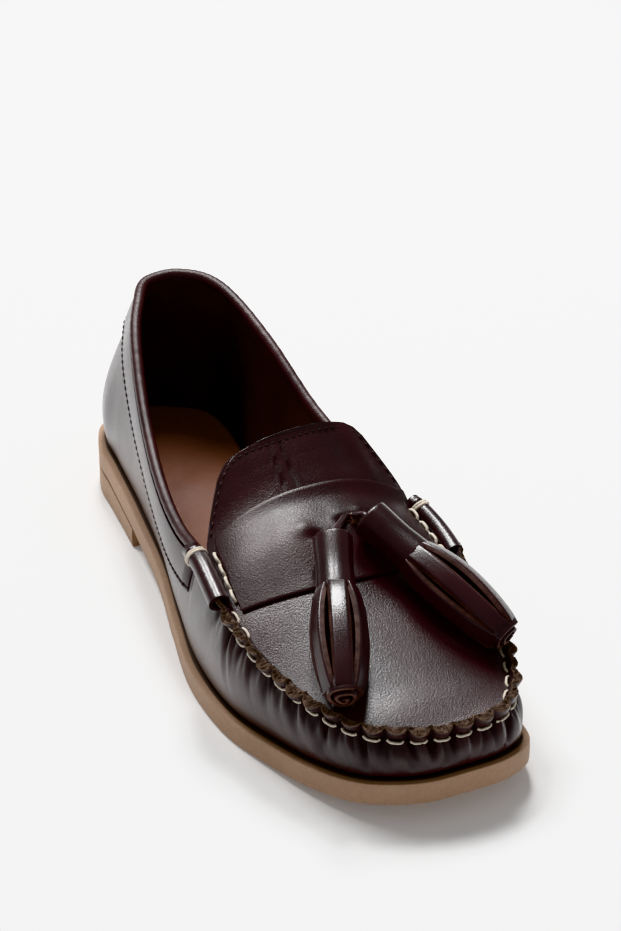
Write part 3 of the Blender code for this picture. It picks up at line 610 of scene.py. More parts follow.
def makeUpper():
    # columns stand closer together round the puckered toe than along the quarters
    spread = np.linspace(0, 1, 4001)
    nearToe = smoothStep(*wrap["toeFrom"], spread) * smoothStep(*wrap["toeFrom"], 1 - spread)
    crowd = np.cumsum(1 + wrap["toeCrowding"] * nearToe)
    crowd = (crowd - crowd[0]) / (crowd[-1] - crowd[0])
    turns = np.interp(np.arange(wrap["columns"]) / wrap["columns"], crowd, spread)
    heights = np.sin(np.linspace(0, math.pi / 2, wrap["rows"])) ** 1.15
    turn, height = np.meshgrid(turns, heights)
    face, normal = upperSurface(turn, height), upperNormal(turn, height)
    steps = np.linalg.norm(np.diff(face, axis=0), axis=-1)
    fromTop = np.concatenate([np.cumsum(steps[::-1], axis=0)[::-1], np.zeros((1, steps.shape[1]))])
    fromFoot = np.linalg.norm(face - face[:1], axis=-1)
    tuck = wrap["footTuck"] * fadeOut(0, wrap["footRise"], fromFoot)
    relief = puckers(seamDistance(turn), fromTop) * smoothStep(0.001, 0.006, fromFoot)
    outer = face + normal * (relief - tuck)[..., None]
    inner = face - normal * last["wall"]
    plan = planNormal(turns)
    foot = face[0, :, :2] - plan * last["wall"]
    inner[0] = np.column_stack([foot, soleTop(foot[:, 0]) + last["gap"]])
    # the inner face ends level with the outer one along the collar, and below it under the seam
    collar = collarShare(face[-1, :, 0])
    inner[-1] = face[-1] + np.column_stack([-plan * collar[:, None], -1.1 * (1 - collar)]) * last["wall"]
    # painted shade in the pucker troughs and along the foot, where the upper meets the sole
    hollow = np.clip(-relief / wrap["shadeDepth"] - 0.1, 0, 0.7) + fadeOut(0.0004, 0.0013, fromFoot)
    piece = addWall("upper_leather", outer, inner, True, [leather, lining], hollow, 1)
    finishPiece(piece, "oxblood_leather", "upper")


makeUpper()
print("upper made")


# Sole: outsole with rounded edges, heel lift and insole

def addPlate(name, rings, material, hollow):
    # closed rings from below to above, capped in strips from side to side
    points = np.concatenate(rings)
    columns = len(rings[0])
    faces = gridFaces(len(rings), columns, True).tolist()
    for start in (0, (len(rings) - 1) * columns):
        for k in range(columns // 2):
            corners = [k, k + 1, columns - k - 1, (columns - k) % columns]
            corners = [start + corner for i, corner in enumerate(corners) if corner not in corners[:i]]
            faces.append(corners)
    return buildMesh(name, points, faces, material, hollow)


def ringAt(turns, inset, base, rise):
    # the sole's outline moved inwards, at a rise over the base's height
    plan = insetOutline(turns, inset)
    return np.column_stack([plan, base(plan[:, 0]) + rise])


sole = {
    "columns": 480, "lowerEdge": 0.0010, "upperEdge": 0.0005, "sideBulge": 0.00012,
    "sideShares": (0.25, 0.5, 0.75),
    # rings of the top face: inset, painted shade where the upper's foot overhangs them
    "topRings": [(0.0021, 0.10), (0.0027, 0.95), (0.0042, 1.0)],
}


def makeSole():
    turns = np.arange(sole["columns"]) / sole["columns"]
    quarter = np.linspace(0, math.pi / 2, 5)
    low, high = sole["lowerEdge"], sole["upperEdge"]
    rings = [ringAt(turns, low * (1 - math.sin(a)), soleBottom, low * (1 - math.cos(a))) for a in quarter]
    for share in sole["sideShares"]:
        bulge = sole["sideBulge"] * math.sin(math.pi * share)
        rings.append(ringAt(turns, -bulge, soleBottom, last["outsole"] * share))
    for a in quarter[::-1]:
        rings.append(ringAt(turns, high * (1 - math.sin(a)), soleTop, -high * (1 - math.cos(a))))
    rings += [ringAt(turns, inset, soleTop, 0) for inset, _ in sole["topRings"]]
    # painted shade on the top face's inner rings, under the upper's foot
    hollow = np.zeros((len(rings), len(turns)))
    hollow[-len(sole["topRings"]):] = [[shade] for _, shade in sole["topRings"]]
    finishPiece(addPlate("outsole_rubber", rings, rubber, hollow), "tan_rubber", "outsole")


heel = {
    "columns": 220,
    # rings round the lower edge: inset, height; and up the side: share of the rest, inset, painted shade
    "lowRings": [(0.0010, 0.0), (0.0003, 0.0003), (0.0, 0.0010)],
    "sideRings": [(0.5, 0.0, 0), (0.90, 0.0, 0), (0.965, 0.00020, 0.3), (1.0, 0.0004, 0.6)],
}


def makeHeel():
    # the lift reaches round the back between the two places where the outline has the heel's length
    innerTurn, outerTurn = (np.interp(last["heelLength"], closedCurve(soleRows, side)[:, 0], side)
                            for side in (np.linspace(0, 0.5, 800), np.linspace(1, 0.5, 800)))
    turns = np.linspace(outerTurn - 1, innerTurn, heel["columns"])
    rings = [ringAt(turns, inset, np.zeros_like, height) for inset, height in heel["lowRings"]]
    lowest = heel["lowRings"][-1][1]
    topOfLift = soleBottom(insetOutline(turns, 0.0)[:, 0]) - last["gap"]
    rings += [ringAt(turns, inset, np.zeros_like, lowest + (topOfLift - lowest) * share)
              for share, inset, _ in heel["sideRings"]]
    # painted shade near the top of the side, under the sole's edge
    shades = [0] * len(heel["lowRings"]) + [shade for _, _, shade in heel["sideRings"]]
    hollow = np.repeat(shades, len(turns))
    finishPiece(addLoft("heel_lift", np.array(rings), rubber, hollow), "tan_rubber", "heel")


sock = {
    "columns": 360, "clear": 0.0006,
    # rings: inset, height, painted shade
    "rings": [(0.0, 0.0, 1), (0.0, 0.0020, 0.9), (0.0006, 0.0027, 0.5), (0.0020, 0.0030, 0.15)],
}


def makeInsole():
    turns = np.arange(sock["columns"]) / sock["columns"]
    edge = last["featherInset"] + last["wall"] + sock["clear"]
    rings = [ringAt(turns, edge + inset, soleTop, last["gap"] + height)
             for inset, height, _ in sock["rings"]]
    # painted shade along the edge, where the wall meets the insole
    hollow = np.repeat([shade for _, _, shade in sock["rings"]], len(turns))
    finishPiece(addPlate("insole_sock", rings, insoleLeather, hollow), "insole_leather", "insole")


makeSole()
makeHeel()
makeInsole()
print("sole, heel and insole made")


# Apron and tongue in one piece, with the tongue's creases

tongue = {
    "wall": 0.0018, "edgeRound": 0.0009, "seamStep": 0.026, "columns": 91, "edgeGap": 0.0006,
    "toeGap": 0.0025, "join": 0.5775, "lastRows": (0.4985, 0.4982), "groove": 0.00022,
    "fromEdge": 0.0016, "creaseShade": 0.40,
    # crease: from along, across to along, across, depth, half width
    "creases": [
        (0.510, -0.049, 0.566, -0.060, 0.00065, 0.00060),
        (0.516, -0.066, 0.560, -0.078, 0.00030, 0.00045),
        (0.507, -0.010, 0.565, -0.008, 0.00065, 0.00060),
        (0.512, 0.010, 0.548, 0.012, 0.00030, 0.00045),
        (0.518, -0.030, 0.552, -0.036, 0.00014, 0.00045),
        (0.515, -0.107, 0.556, -0.114, 0.00018, 0.00060),
        (0.504, 0.190, 0.556, 0.230, 0.00045, 0.00420),
        (0.504, 0.262, 0.560, 0.320, -0.00035, 0.00300),
    ],
}


def creaseField(along, across, creases):
    # each crease is a trough along a line that fades at both ends, with a low ridge beside it
    field = np.zeros_like(along)
    for a0, c0, a1, c1, depth, width in creases:
        start = np.array([a0 * shoeLength, c0 * shoeWidth])
        run = np.array([a1 * shoeLength, c1 * shoeWidth]) - start
        length = np.linalg.norm(run)
        run = run / length
        onLine = (along - start[0]) * run[0] + (across - start[1]) * run[1]
        offLine = (across - start[1]) * run[0] - (along - start[0]) * run[1]
        fade = smoothStep(-0.3, 0.25, onLine / length) * fadeOut(0.7, 1.25, onLine / length)
        field += fade * depth * (0.6 * np.exp(-((offLine - 1.7 * width) / width) ** 2)
                                 - np.exp(-(offLine / width) ** 2))
    return field


def instepPlan():
    # rows across the instep from the toe to the tongue's free edge, columns from outer to inner side
    reach = toeTurn - turnAt((tongueRows[-1, 0] + tongue["seamStep"]) * shoeLength, True)
    fromToe = np.arange(1, 400) / 400 * reach
    fromToe = fromToe[fromToe > tongue["toeGap"]]
    innerSide, outerSide = topLine(toeTurn - fromToe)[::3, :2], topLine(toeTurn + fromToe)[::3, :2]
    free = np.append(np.linspace(tongue["join"], tongueRows[0, 0], 90), tongue["lastRows"]) * shoeLength
    free = np.sort(free)[::-1]
    (outerAcross, _), (innerAcross, _) = instepEdges(free)
    outerSide = np.concatenate([outerSide, np.column_stack([free, outerAcross])])[:, None]
    innerSide = np.concatenate([innerSide, np.column_stack([free, innerAcross])])[:, None]
    # columns stand a little closer together towards both sides
    even = np.linspace(-1, 1, tongue["columns"])
    share = np.sin(even * math.pi / 2) * 0.4 + even * 0.6
    width = np.linalg.norm(innerSide - outerSide, axis=-1, keepdims=True)
    share = share[None, :, None] * (1 - tongue["edgeGap"] / width)
    return (outerSide + innerSide) / 2 + (innerSide - outerSide) / 2 * share


def makeTongue():
    plan = instepPlan()
    along, across = plan[..., 0], plan[..., 1]
    base, normal = onInstep(along, across), instepNormal(along, across)
    edges = (base[:, :1], base[:, -1:], base[-1:])
    toOuter, toInner, toBack = (np.linalg.norm(base - edge, axis=-1) for edge in edges)
    free = along < tongueRows[-1, 0] * shoeLength
    toFree = np.where(free, np.minimum(np.minimum(toOuter, toInner), toBack), toBack)
    roll = quarterRound(toFree / tongue["edgeRound"])
    drop = (1 - roll) * tongue["wall"] * 0.35
    groove = tongue["groove"] * np.exp(-((toFree - tongue["fromEdge"]) / 0.0005) ** 2)
    relief = creaseField(along, across, tongue["creases"])
    lift = relief - drop - groove
    outer = base + normal * lift[..., None]
    vertical = tongue["wall"] / np.clip(normal[..., 2], 0.66, 1)
    inner = base - vertical[..., None] * upwards
    inner[..., 2] += (1 - roll) * tongue["wall"] * 0.30
    # painted shade in the creases and along the free edge
    hollow = np.clip(-relief / 0.0006, 0, 1) * tongue["creaseShade"] + 0.8 * fadeOut(0.0, 0.0007, toFree)
    piece = addWall("apron_and_tongue", outer, inner, False, [leather, lining], hollow, 1)
    finishPiece(piece, "oxblood_leather", "plug_and_tongue")


makeTongue()
print("apron and tongue made")


# Saddle: the band over the instep, pulled up where the thong comes out

saddle = {
    "wall": 0.0016, "gap": 0.0010, "rear": 0.566, "frontMiddle": 0.722, "frontSide": 0.696,
    "sideInset": 0.0032, "edgeRound": 0.0005, "rearLift": 0.0007, "arch": 0.0008,
    "hole": (0.632, 0.112), "holeLong": 0.0044, "holeWide": 0.0015, "holeDeep": 0.0020,
    # swells and dimples of the pulled leather: along, across, height, reach along, reach across
    "pulls": [(0.642, 0.105, 0.0009, 0.0100, 0.0120), (0.630, -0.080, 0.0007, 0.0034, 0.0040),
              (0.645, -0.047, -0.0013, 0.0014, 0.0022), (0.616, 0.180, 0.0006, 0.0022, 0.0028),
              (0.624, 0.210, -0.0010, 0.0014, 0.0020), (0.618, 0.040, -0.0002, 0.0050, 0.0040)],
}


def saddleFront(share):
    return saddle["frontMiddle"] + (saddle["frontSide"] - saddle["frontMiddle"]) * share ** 2


def makeSaddle():
    share, step = np.meshgrid(np.linspace(-1, 1, 121), np.linspace(0, 1, 60))
    along = (saddle["rear"] + (saddleFront(share) - saddle["rear"]) * step) * shoeLength
    (outerAcross, _), (innerAcross, _) = instepEdges(along)
    half = (innerAcross - outerAcross) / 2 - saddle["sideInset"]
    across = (outerAcross + innerAcross) / 2 + half * share
    base, normal = onInstep(along, across), instepNormal(along, across)
    toFront = np.linalg.norm(base - base[-1:], axis=-1)
    toEdge = np.minimum(np.linalg.norm(base - base[:1], axis=-1), toFront)
    roll = quarterRound(toEdge / saddle["edgeRound"])
    hole = np.array(saddle["hole"]) * (shoeLength, shoeWidth)
    offAlong, offAcross = (along - hole[0]) / saddle["holeWide"], (across - hole[1]) / saddle["holeLong"]
    dent = np.exp(-offAlong ** 2 - offAcross ** 4)
    relief = -saddle["holeDeep"] * dent
    for pullAlong, pullAcross, rise, reachAlong, reachAcross in saddle["pulls"]:
        offAlong = (along - pullAlong * shoeLength) / reachAlong
        offAcross = (across - pullAcross * shoeWidth) / reachAcross
        relief = relief + rise * np.exp(-offAlong ** 2 - offAcross ** 2)
    # thin at the rear edge, highest past the middle, a little thinner again in front
    thick = saddle["rearLift"] + saddle["arch"] * np.sin(2.6 * step)
    lift = thick - (1 - roll) * thick * 0.4 + relief
    vertical = 1 / np.clip(normal[..., 2], 0.66, 1)
    outer = base + (lift * vertical)[..., None] * upwards
    under = np.minimum(thick * 0.3, lift - 0.0003) + (1 - roll) * 0.0001
    inner = base + (under * vertical)[..., None] * upwards
    # painted shade in the thong's hole, in the dimples and along the front edge
    hollow = dent + np.clip(-relief / 0.0016, 0, 0.9) + 0.9 * fadeOut(0.0, 0.0002, toFront)
    piece = addWall("saddle_band", outer, inner, False, saddleLeather, hollow)
    finishPiece(piece, "oxblood_leather", "saddle")


makeSaddle()
print("saddle made")


# Collar: rolled binding, band below it with its stitches, and the backstay

collar = {
    "rollColumns": 420, "bandColumns": 520, "bandEnd": 0.548, "bandWidth": 0.0130, "bandWall": 0.0010,
    "bandPad": 0.0005, "groove": 0.0004, "gap": 0.0006, "edgeRound": 0.0008, "stitchFromEdge": 0.0016,
    "stitchPitch": 0.0030, "stitchLength": 0.0027, "backstayWidth": 0.0120,
}


def collarTurns(endShare, count):
    return np.linspace(turnAt(endShare * shoeLength, False), 1 + turnAt(endShare * shoeLength, True), count)


def toEnds(count):
    # columns from the nearer end of a strip
    return np.minimum(np.arange(count), count - 1 - np.arange(count))


def makeBinding():
    turns = collarTurns(last["bindingEnd"] + 0.004, collar["rollColumns"])
    wrinkle = 0.00006 * np.sin(turns * 900) * np.sin(turns * 217 + 1)
    centre = upperEdge(turns) - outwardAt(turns) * last["wall"] / 2
    centre[:, 2] += last["gap"] + last["binding"] / 2
    radius = (last["binding"] / 2 + wrinkle) * quarterRound(toEnds(len(turns)) / 5, 0.1)
    finishPiece(addLoft("collar_roll", tubeRings(centre, radius, 18), bindingLeather),
                "oxblood_leather", "collar_binding")


def bandHeights(turns, downs):
    # turns a distance below the topline into a share of the wall's height
    rise = (upperSurface(turns, np.ones(len(turns))) - upperSurface(turns, np.zeros(len(turns))))[:, 2]
    return 1.0 - 0.004 - np.asarray(downs)[:, None] / rise[None, :]


def makeBand():
    turns = collarTurns(collar["bandEnd"], collar["bandColumns"])
    downs = np.linspace(collar["bandWidth"], 0.0, 26)
    height = bandHeights(turns, downs)
    turn = np.broadcast_to(turns, height.shape)
    base, normal = upperSurface(turn, height), upperNormal(turn, height)
    toLower = (collar["bandWidth"] - downs)[:, None]
    pad = collar["bandPad"] * np.sin(math.pi * np.clip(toLower / collar["bandWidth"], 0, 1)) ** 0.7
    groove = collar["groove"] * np.exp(-((toLower - collar["stitchFromEdge"]) / 0.0006) ** 2)
    # both ends taper into the quarter within a few millimetres
    taper = np.sqrt(np.clip(toEnds(len(turns)) / 5, 0.02, 1))
    thick = collar["bandWall"] * quarterRound(toLower / collar["edgeRound"]) + pad - groove
    lift = collar["gap"] * 0.3 + thick * taper
    outer = base + normal * np.broadcast_to(lift, height.shape)[..., None]
    inner = base + normal * 0.0001
    # painted shade along the lower edge and in the stitch groove
    hollow = 0.7 * fadeOut(0, 0.0006, toLower) + 0.8 * groove / collar["groove"]
    hollow = np.broadcast_to(hollow, height.shape)
    piece = addWall("collar_strip", outer, inner, False, leather, hollow)
    finishPiece(piece, "oxblood_leather", "collar_band")
    down = collar["bandWidth"] - collar["stitchFromEdge"]
    line = upperSurface(turns, bandHeights(turns, [down])[0])
    travelled = travelledAlong(line)
    starts = np.arange(0.002, travelled[-1] - 0.004, collar["stitchPitch"])
    ends = []
    for distance in (starts, starts + collar["stitchLength"]):
        place = np.interp(distance, travelled, turns)
        onHeight = bandHeights(place, [down])[0]
        ends.append((upperSurface(place, onHeight), upperNormal(place, onHeight)))
    seat = collar["gap"] * 0.3 + collar["bandWall"] - 0.0001
    piece = addStitches("collar_stitches", ends[0][0] + ends[0][1] * seat, ends[1][0] + ends[1][1] * seat,
                        ends[0][1], 0.0010, 0.0002, darkThread)
    finishPiece(piece, "oxblood_leather")


def makeBackstay():
    speed = np.linalg.norm(closedCurve(soleRows, tiny) - closedCurve(soleRows, -tiny)) / (2 * tiny)
    half = collar["backstayWidth"] / 2 / speed
    rise = float(upperSurface(0.0, 1.0)[2] - upperSurface(0.0, 0.0)[2])
    turn, height = np.meshgrid(np.linspace(-half, half, 31),
                               np.linspace(0.03, 1 - (collar["bandWidth"] + 0.001) / rise, 60))
    base, normal = upperSurface(turn, height), upperNormal(turn, height)
    toSide = (half - np.abs(turn)) * speed
    groove = 0.00025 * np.exp(-((toSide - collar["stitchFromEdge"]) / 0.0005) ** 2)
    lift = 0.0002 + collar["bandWall"] * quarterRound(toSide / collar["edgeRound"]) - groove
    outer = base + normal * lift[..., None]
    inner = base + normal * 0.0001
    # painted shade along both sides
    piece = addWall("backstay_strip", outer, inner, False, leather, 0.7 * fadeOut(0, 0.0007, toSide))
    finishPiece(piece, "oxblood_leather", "backstay")


makeBinding()
makeBand()
makeBackstay()
print("collar made")


# Apron seam: a raised lip that waves with the stitches, cream thread on both sides of it

ridge = {
    "halfWidth": 0.0011, "scallopOut": 0.0018, "scallopUp": 0.0007, "upright": 0.70, "inBarrel": 0.0050,
    "barrelRise": 0.0022, "thread": 0.0010, "dash": 0.0052, "samples": 24, "ragged": 0.00018,
    "innerShown": 0.080, "outerShown": 0.016,
    # outwards in half widths, share of the swing, height, share of the rise, roughness, painted shade,
    # painted shade where it is pinched, slot of the next face: 0 rough flesh, 1 grain, 2 cut line
    "section": [
        (1.10, 0.10, -0.0026, 0, 0, 1, 1, 1), (1.35, 0.30, -0.0011, 0, 0, 0.5, 1, 1),
        (1.40, 0.90, 0.0005, 0.2, 0, 0.1, 1, 1), (1.25, 1.00, 0.0020, 0.6, 0, 0, 0.9, 1),
        (1.05, 1.05, 0.0032, 1, 0.2, 0, 0.7, 2), (0.85, 1.05, 0.0035, 1, 0.3, 0, 0.6, 0),
        (0.55, 0.95, 0.0035, 0.9, 1, 0.05, 0.3, 0), (0.20, 0.70, 0.0031, 0.6, 1.2, 0.25, 0, 0),
        (-0.20, 0.45, 0.0031, 0.4, 1.2, 0.1, 0, 0), (-0.60, 0.30, 0.0032, 0.3, 1, 0, 0, 0),
        (-0.90, 0.25, 0.0029, 0.2, 0.6, 0.2, 0, 1), (-0.85, 0.10, 0.0014, 0, 0, 0.5, 0, 1),
        (-0.85, 0.00, -0.0006, 0, 0, 0.8, 0, 1)],
}


def seamFrame(distance):
    # the lip stands nearer to the apron's normal than to the wrap's
    turn = seamTurn(np.clip(distance, 0, seamLength[-1]))
    beyond = distance - np.clip(distance, 0, seamLength[-1])
    middle = np.clip(distance, tiny, seamLength[-1] - tiny)
    tangent = unit(topLine(seamTurn(middle + tiny)) - topLine(seamTurn(middle - tiny)))
    line, bisector = topLine(turn) + tangent * beyond[:, None], seamNormal(turn)
    face = upperNormal(turn, np.full(turn.shape, 0.97))
    apron = unit(bisector - face * np.sum(bisector * face, -1, keepdims=True) * 0.5)
    normal = unit(bisector + apron * ridge["upright"])
    normal = unit(normal - tangent * np.sum(normal * tangent, -1, keepdims=True))
    outward = np.cross(tangent, normal)
    facing = np.sum(outward * outwardAt(turn), -1, keepdims=True)
    outward = np.where(facing < 0, -outward, outward)
    return line, normal, outward


def makeSeam():
    # the wrap's edge stands up as a ruffle: it swings out between two holes and is pinched at each;
    # dark grain on its outer face, a pale cut line along its top and rough flesh behind that
    step = scallopPitch / ridge["samples"]
    distance = np.arange(-ridge["inBarrel"], seamLength[-1] + ridge["inBarrel"], step)
    phase = (distance - seamStart) / scallopPitch
    line, normal, outward = seamFrame(distance)
    wave = np.abs(np.sin(math.pi * phase)) ** 0.6
    sizes = chance.uniform(0.65, 1.25, scallops + 4)
    own = sizes[np.clip(np.floor(phase).astype(int) + 2, 0, scallops + 3)]
    inside = fadeOut(0, 0.006, np.minimum(distance, seamLength[-1] - distance))      # 1 inside the barrels
    line = line + normal * (ridge["barrelRise"] * inside)[:, None]
    swing = ridge["scallopOut"] * (1.7 * wave * own - 0.9) * (1 - 0.8 * inside)
    rise = ridge["scallopUp"] * (wave * own - 0.5)
    uneven = 0.16 * np.sin(distance * 170) + 0.12 * np.sin(distance * 77 + 1)
    width = ridge["halfWidth"] * (1 + uneven - 0.15 * inside)
    outwards, swings, heights, rises, roughness, shade, pinchShade, slots = np.array(ridge["section"]).T
    sideways = outwards * width[:, None] + swings * swing[:, None]
    upward = heights + rises * rise[:, None]
    rough = chance.normal(0, ridge["ragged"], sideways.shape + (3,)) * roughness[:, None]
    rings = line[:, None] + outward[:, None] * sideways[..., None] + normal[:, None] * upward[..., None]
    rings = rings + rough
    # painted shade at both feet of the lip and a little on its top, and in the pinches at the holes
    hollow = shade + pinchShade * (1 - wave)[:, None] ** 2
    piece = addLoft("seam_lip", rings, [rawEdge, leather, cutEdge], hollow, slots)
    finishPiece(piece, "raw_edge_leather", "apron_seam")
    centres = seamStart + (np.arange(scallops) + 0.5) * scallopPitch
    firstLine, firstNormal, firstOut = seamFrame(centres - ridge["dash"] / 2)
    lastLine, lastNormal, lastOut = seamFrame(centres + ridge["dash"] / 2)
    slack = chance.uniform(-0.0003, 0.0003, (scallops, 1))
    # the inner row shows beside the inner side's lip and just ahead of the outer barrel
    shown = (centres < ridge["innerShown"]) | (centres > seamLength[-1] - ridge["outerShown"])
    for name, aside, above, out, rows in (("seam_thread_outer", 0.0031, -0.0015, 1.0, centres > 0),
                                          ("seam_thread_inner", -0.0015, 0.0002, -0.9, shown)):
        first = firstLine + firstOut * aside + firstNormal * (above + slack)
        final = lastLine + lastOut * aside + lastNormal * (above - slack)
        lift = unit(firstNormal * 0.1 + firstOut * out)
        piece = addStitches(name, first[rows], final[rows], lift[rows], ridge["thread"], 0.0, creamThread,
                            steps=11, sides=8)
        finishPiece(piece, "raw_edge_leather")


makeSeam()
print("seam made")


# Barrels beside the saddle, with thread along them and rings round their rear ends

barrel = {
    "rings": 80, "sides": 40, "diameter": 0.0078, "bore": 0.68, "seat": 0.0006, "thread": 0.0012,
    "ringPlace": 0.14, "ringTurns": 1.6, "ringSamples": 90,
    "stitches": 4, "stitchLength": 0.185, "stitchIn": 0.0022, "stitchUp": 0.0020,
}


def makeBarrel(name, node, innerSide, bow, sink, thickness):
    # a strip of leather rolled round the seam: a tube, waisted under its thread, bowed a little outwards
    count = barrel["rings"]
    turns = np.linspace(turnAt(last["barrelRear"] * shoeLength, innerSide),
                        turnAt(last["barrelFront"] * shoeLength, innerSide), count)
    radius = barrel["diameter"] / 2 * thickness
    u = np.linspace(0, 1, count)
    centre = topLine(turns) + seamNormal(turns) * (radius + barrel["seat"] - sink)
    centre = centre + outwardAt(turns) * (bow * np.sin(math.pi * u))[:, None]
    waist = 0.15 * np.exp(-((u - barrel["ringPlace"]) / 0.035) ** 2)
    shape = 0.98 + 0.03 * u - waist - 0.10 * fadeOut(0.02, 0.12, u)
    outerRings = tubeRings(centre, radius * shape, barrel["sides"])
    innerRings = tubeRings(centre, radius * barrel["bore"] * shape, barrel["sides"])
    # painted shade at the front end of the roll
    hollow = np.broadcast_to(fadeOut(0, 0.02, 1 - u)[:, None], (count, barrel["sides"])) * 0.6
    piece = addWall(name + "_roll", outerRings, innerRings, True, [tasselLeather, lining], hollow, 1)
    finishPiece(piece, "oxblood_leather", node)
    # cream thread round the rear end, a little askew
    angle = np.linspace(-0.6, 2 * math.pi * barrel["ringTurns"], barrel["ringSamples"])
    place = barrel["ringPlace"] + 0.035 * np.cos(angle) + np.linspace(-0.01, 0.05, len(angle))
    mid = np.stack([np.interp(place, u, centre[:, k]) for k in range(3)], -1)
    tangent, side, up = pathFrame(centre, np.broadcast_to(upwards, centre.shape))
    nearest = np.round(place * (count - 1)).astype(int)
    around = np.cos(angle)[:, None] * up[nearest] + np.sin(angle)[:, None] * side[nearest]
    coil = mid + around * (radius * 0.86 + barrel["thread"] * 0.4)
    piece = addLoft(name + "_ring", tubeRings(coil, barrel["thread"] / 2, 10, tangent[0]), creamThread)
    finishPiece(piece, "raw_edge_leather")
    # stitches along the inner side of the barrel, the last one a little beyond its end
    firstPlace = np.linspace(0.20, 0.86, barrel["stitches"])
    beyond = turns[-1] * 1.2 - turns[0] * 0.2
    places = []
    for share in (firstPlace, firstPlace + barrel["stitchLength"]):
        turn = np.interp(share, np.append(u, 1.2), np.append(turns, beyond))
        point = topLine(turn) - outwardAt(turn) * barrel["stitchIn"]
        point[:, 2] = instepHeight(point[:, 0], point[:, 1]) + barrel["stitchUp"]
        places.append(point)
    lift = instepNormal(places[0][:, 0], places[0][:, 1])
    piece = addStitches(name + "_thread", places[0], places[1], lift, barrel["thread"], 0.0003, creamThread,
                        steps=9, sides=8)
    finishPiece(piece, "raw_edge_leather")


makeBarrel("outer_barrel", "barrel_lateral", False, 0.0, 0.0, 0.95)
makeBarrel("inner_barrel", "barrel_medial", True, 0.0010, 0.0012, 0.85)
print("barrels made")


# Stitches round the tongue's free edge, on a smoothed line inside it

edgeStitch = {"fromEdge": 0.0017, "pitch": 0.0026, "length": 0.0018, "middle": (0.60, 0.035)}


def makeTongueStitches():
    side = np.concatenate([freeEdges[0][::-1], freeEdges[1]])[:, :2]
    pieces = [np.linspace(side[i], side[i + 1], 40, endpoint=False) for i in range(len(side) - 1)]
    dense = np.concatenate(pieces)
    middle = np.array(edgeStitch["middle"]) * (shoeLength, shoeWidth)
    smooth = dense + unit(middle - dense) * edgeStitch["fromEdge"]
    smooth[2:-2] = (smooth[:-4] + smooth[1:-3] + smooth[2:-2] + smooth[3:-1] + smooth[4:]) / 5
    travelled = travelledAlong(smooth)
    starts = np.arange(0.001, travelled[-1] - 0.003, edgeStitch["pitch"])
    places = []
    for distance in (starts, starts + edgeStitch["length"]):
        along, across = (np.interp(distance, travelled, smooth[:, k]) for k in (0, 1))
        places.append(onInstep(along, across, -0.0001))
    lifts = instepNormal(places[0][:, 0], places[0][:, 1])
    piece = addStitches("tongue_stitches", places[0], places[1], lifts, 0.0005, 0.0002, darkThread)
    finishPiece(piece, "oxblood_leather")


makeTongueStitches()
print("tongue stitched")


# Tassels: sleeve, strips that bulge and gather, and the rolled end

tassel = {
    "sleeve": 0.01425, "sleeveLength": 0.0240, "skirt": 0.0204, "skirtLength": 0.0380, "roll": 0.0136,
    "rollLength": 0.0040, "rollTurns": 2.2, "rollStart": 0.0012, "strips": 6, "stripFace": 0.0062,
    "stripWall": 0.0018, "stripSplay": 0.0005, "neck": 0.0060, "flatten": 0.66,
}
stripPhase = {"tassel_lateral": 0.0, "tassel_medial": 0.5}      # share of a strip that the set is turned by
# plan places of start and end, in shares of the shoe's length and width
tasselNodes = {
    "tassel_lateral": (0.688, -0.034, 0.910, -0.294), "tassel_medial": (0.668, 0.142, 0.884, 0.432)}


def tasselAxis(node, row):
    # plan direction from the table, height and slope from the box of the node that it stands for
    start = np.array([row[0] * shoeLength, row[1] * shoeWidth, 0.0])
    end = np.array([row[2] * shoeLength, row[3] * shoeWidth, 0.0])
    for point in (start, end):
        point[2] = instepHeight(point[0], point[1])
    start[2] += (saddle["gap"] + saddle["wall"]) * 1.1 + tassel["sleeve"] / 2
    end[2] += tassel["roll"] / 2
    direction = unit(end - start)
    sleeveTop = start[2] + tassel["sleeve"] / 2 * math.sqrt(1 - direction[2] ** 2)
    start[2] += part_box(node)[1][2] - sleeveTop - 0.0002
    return start, direction


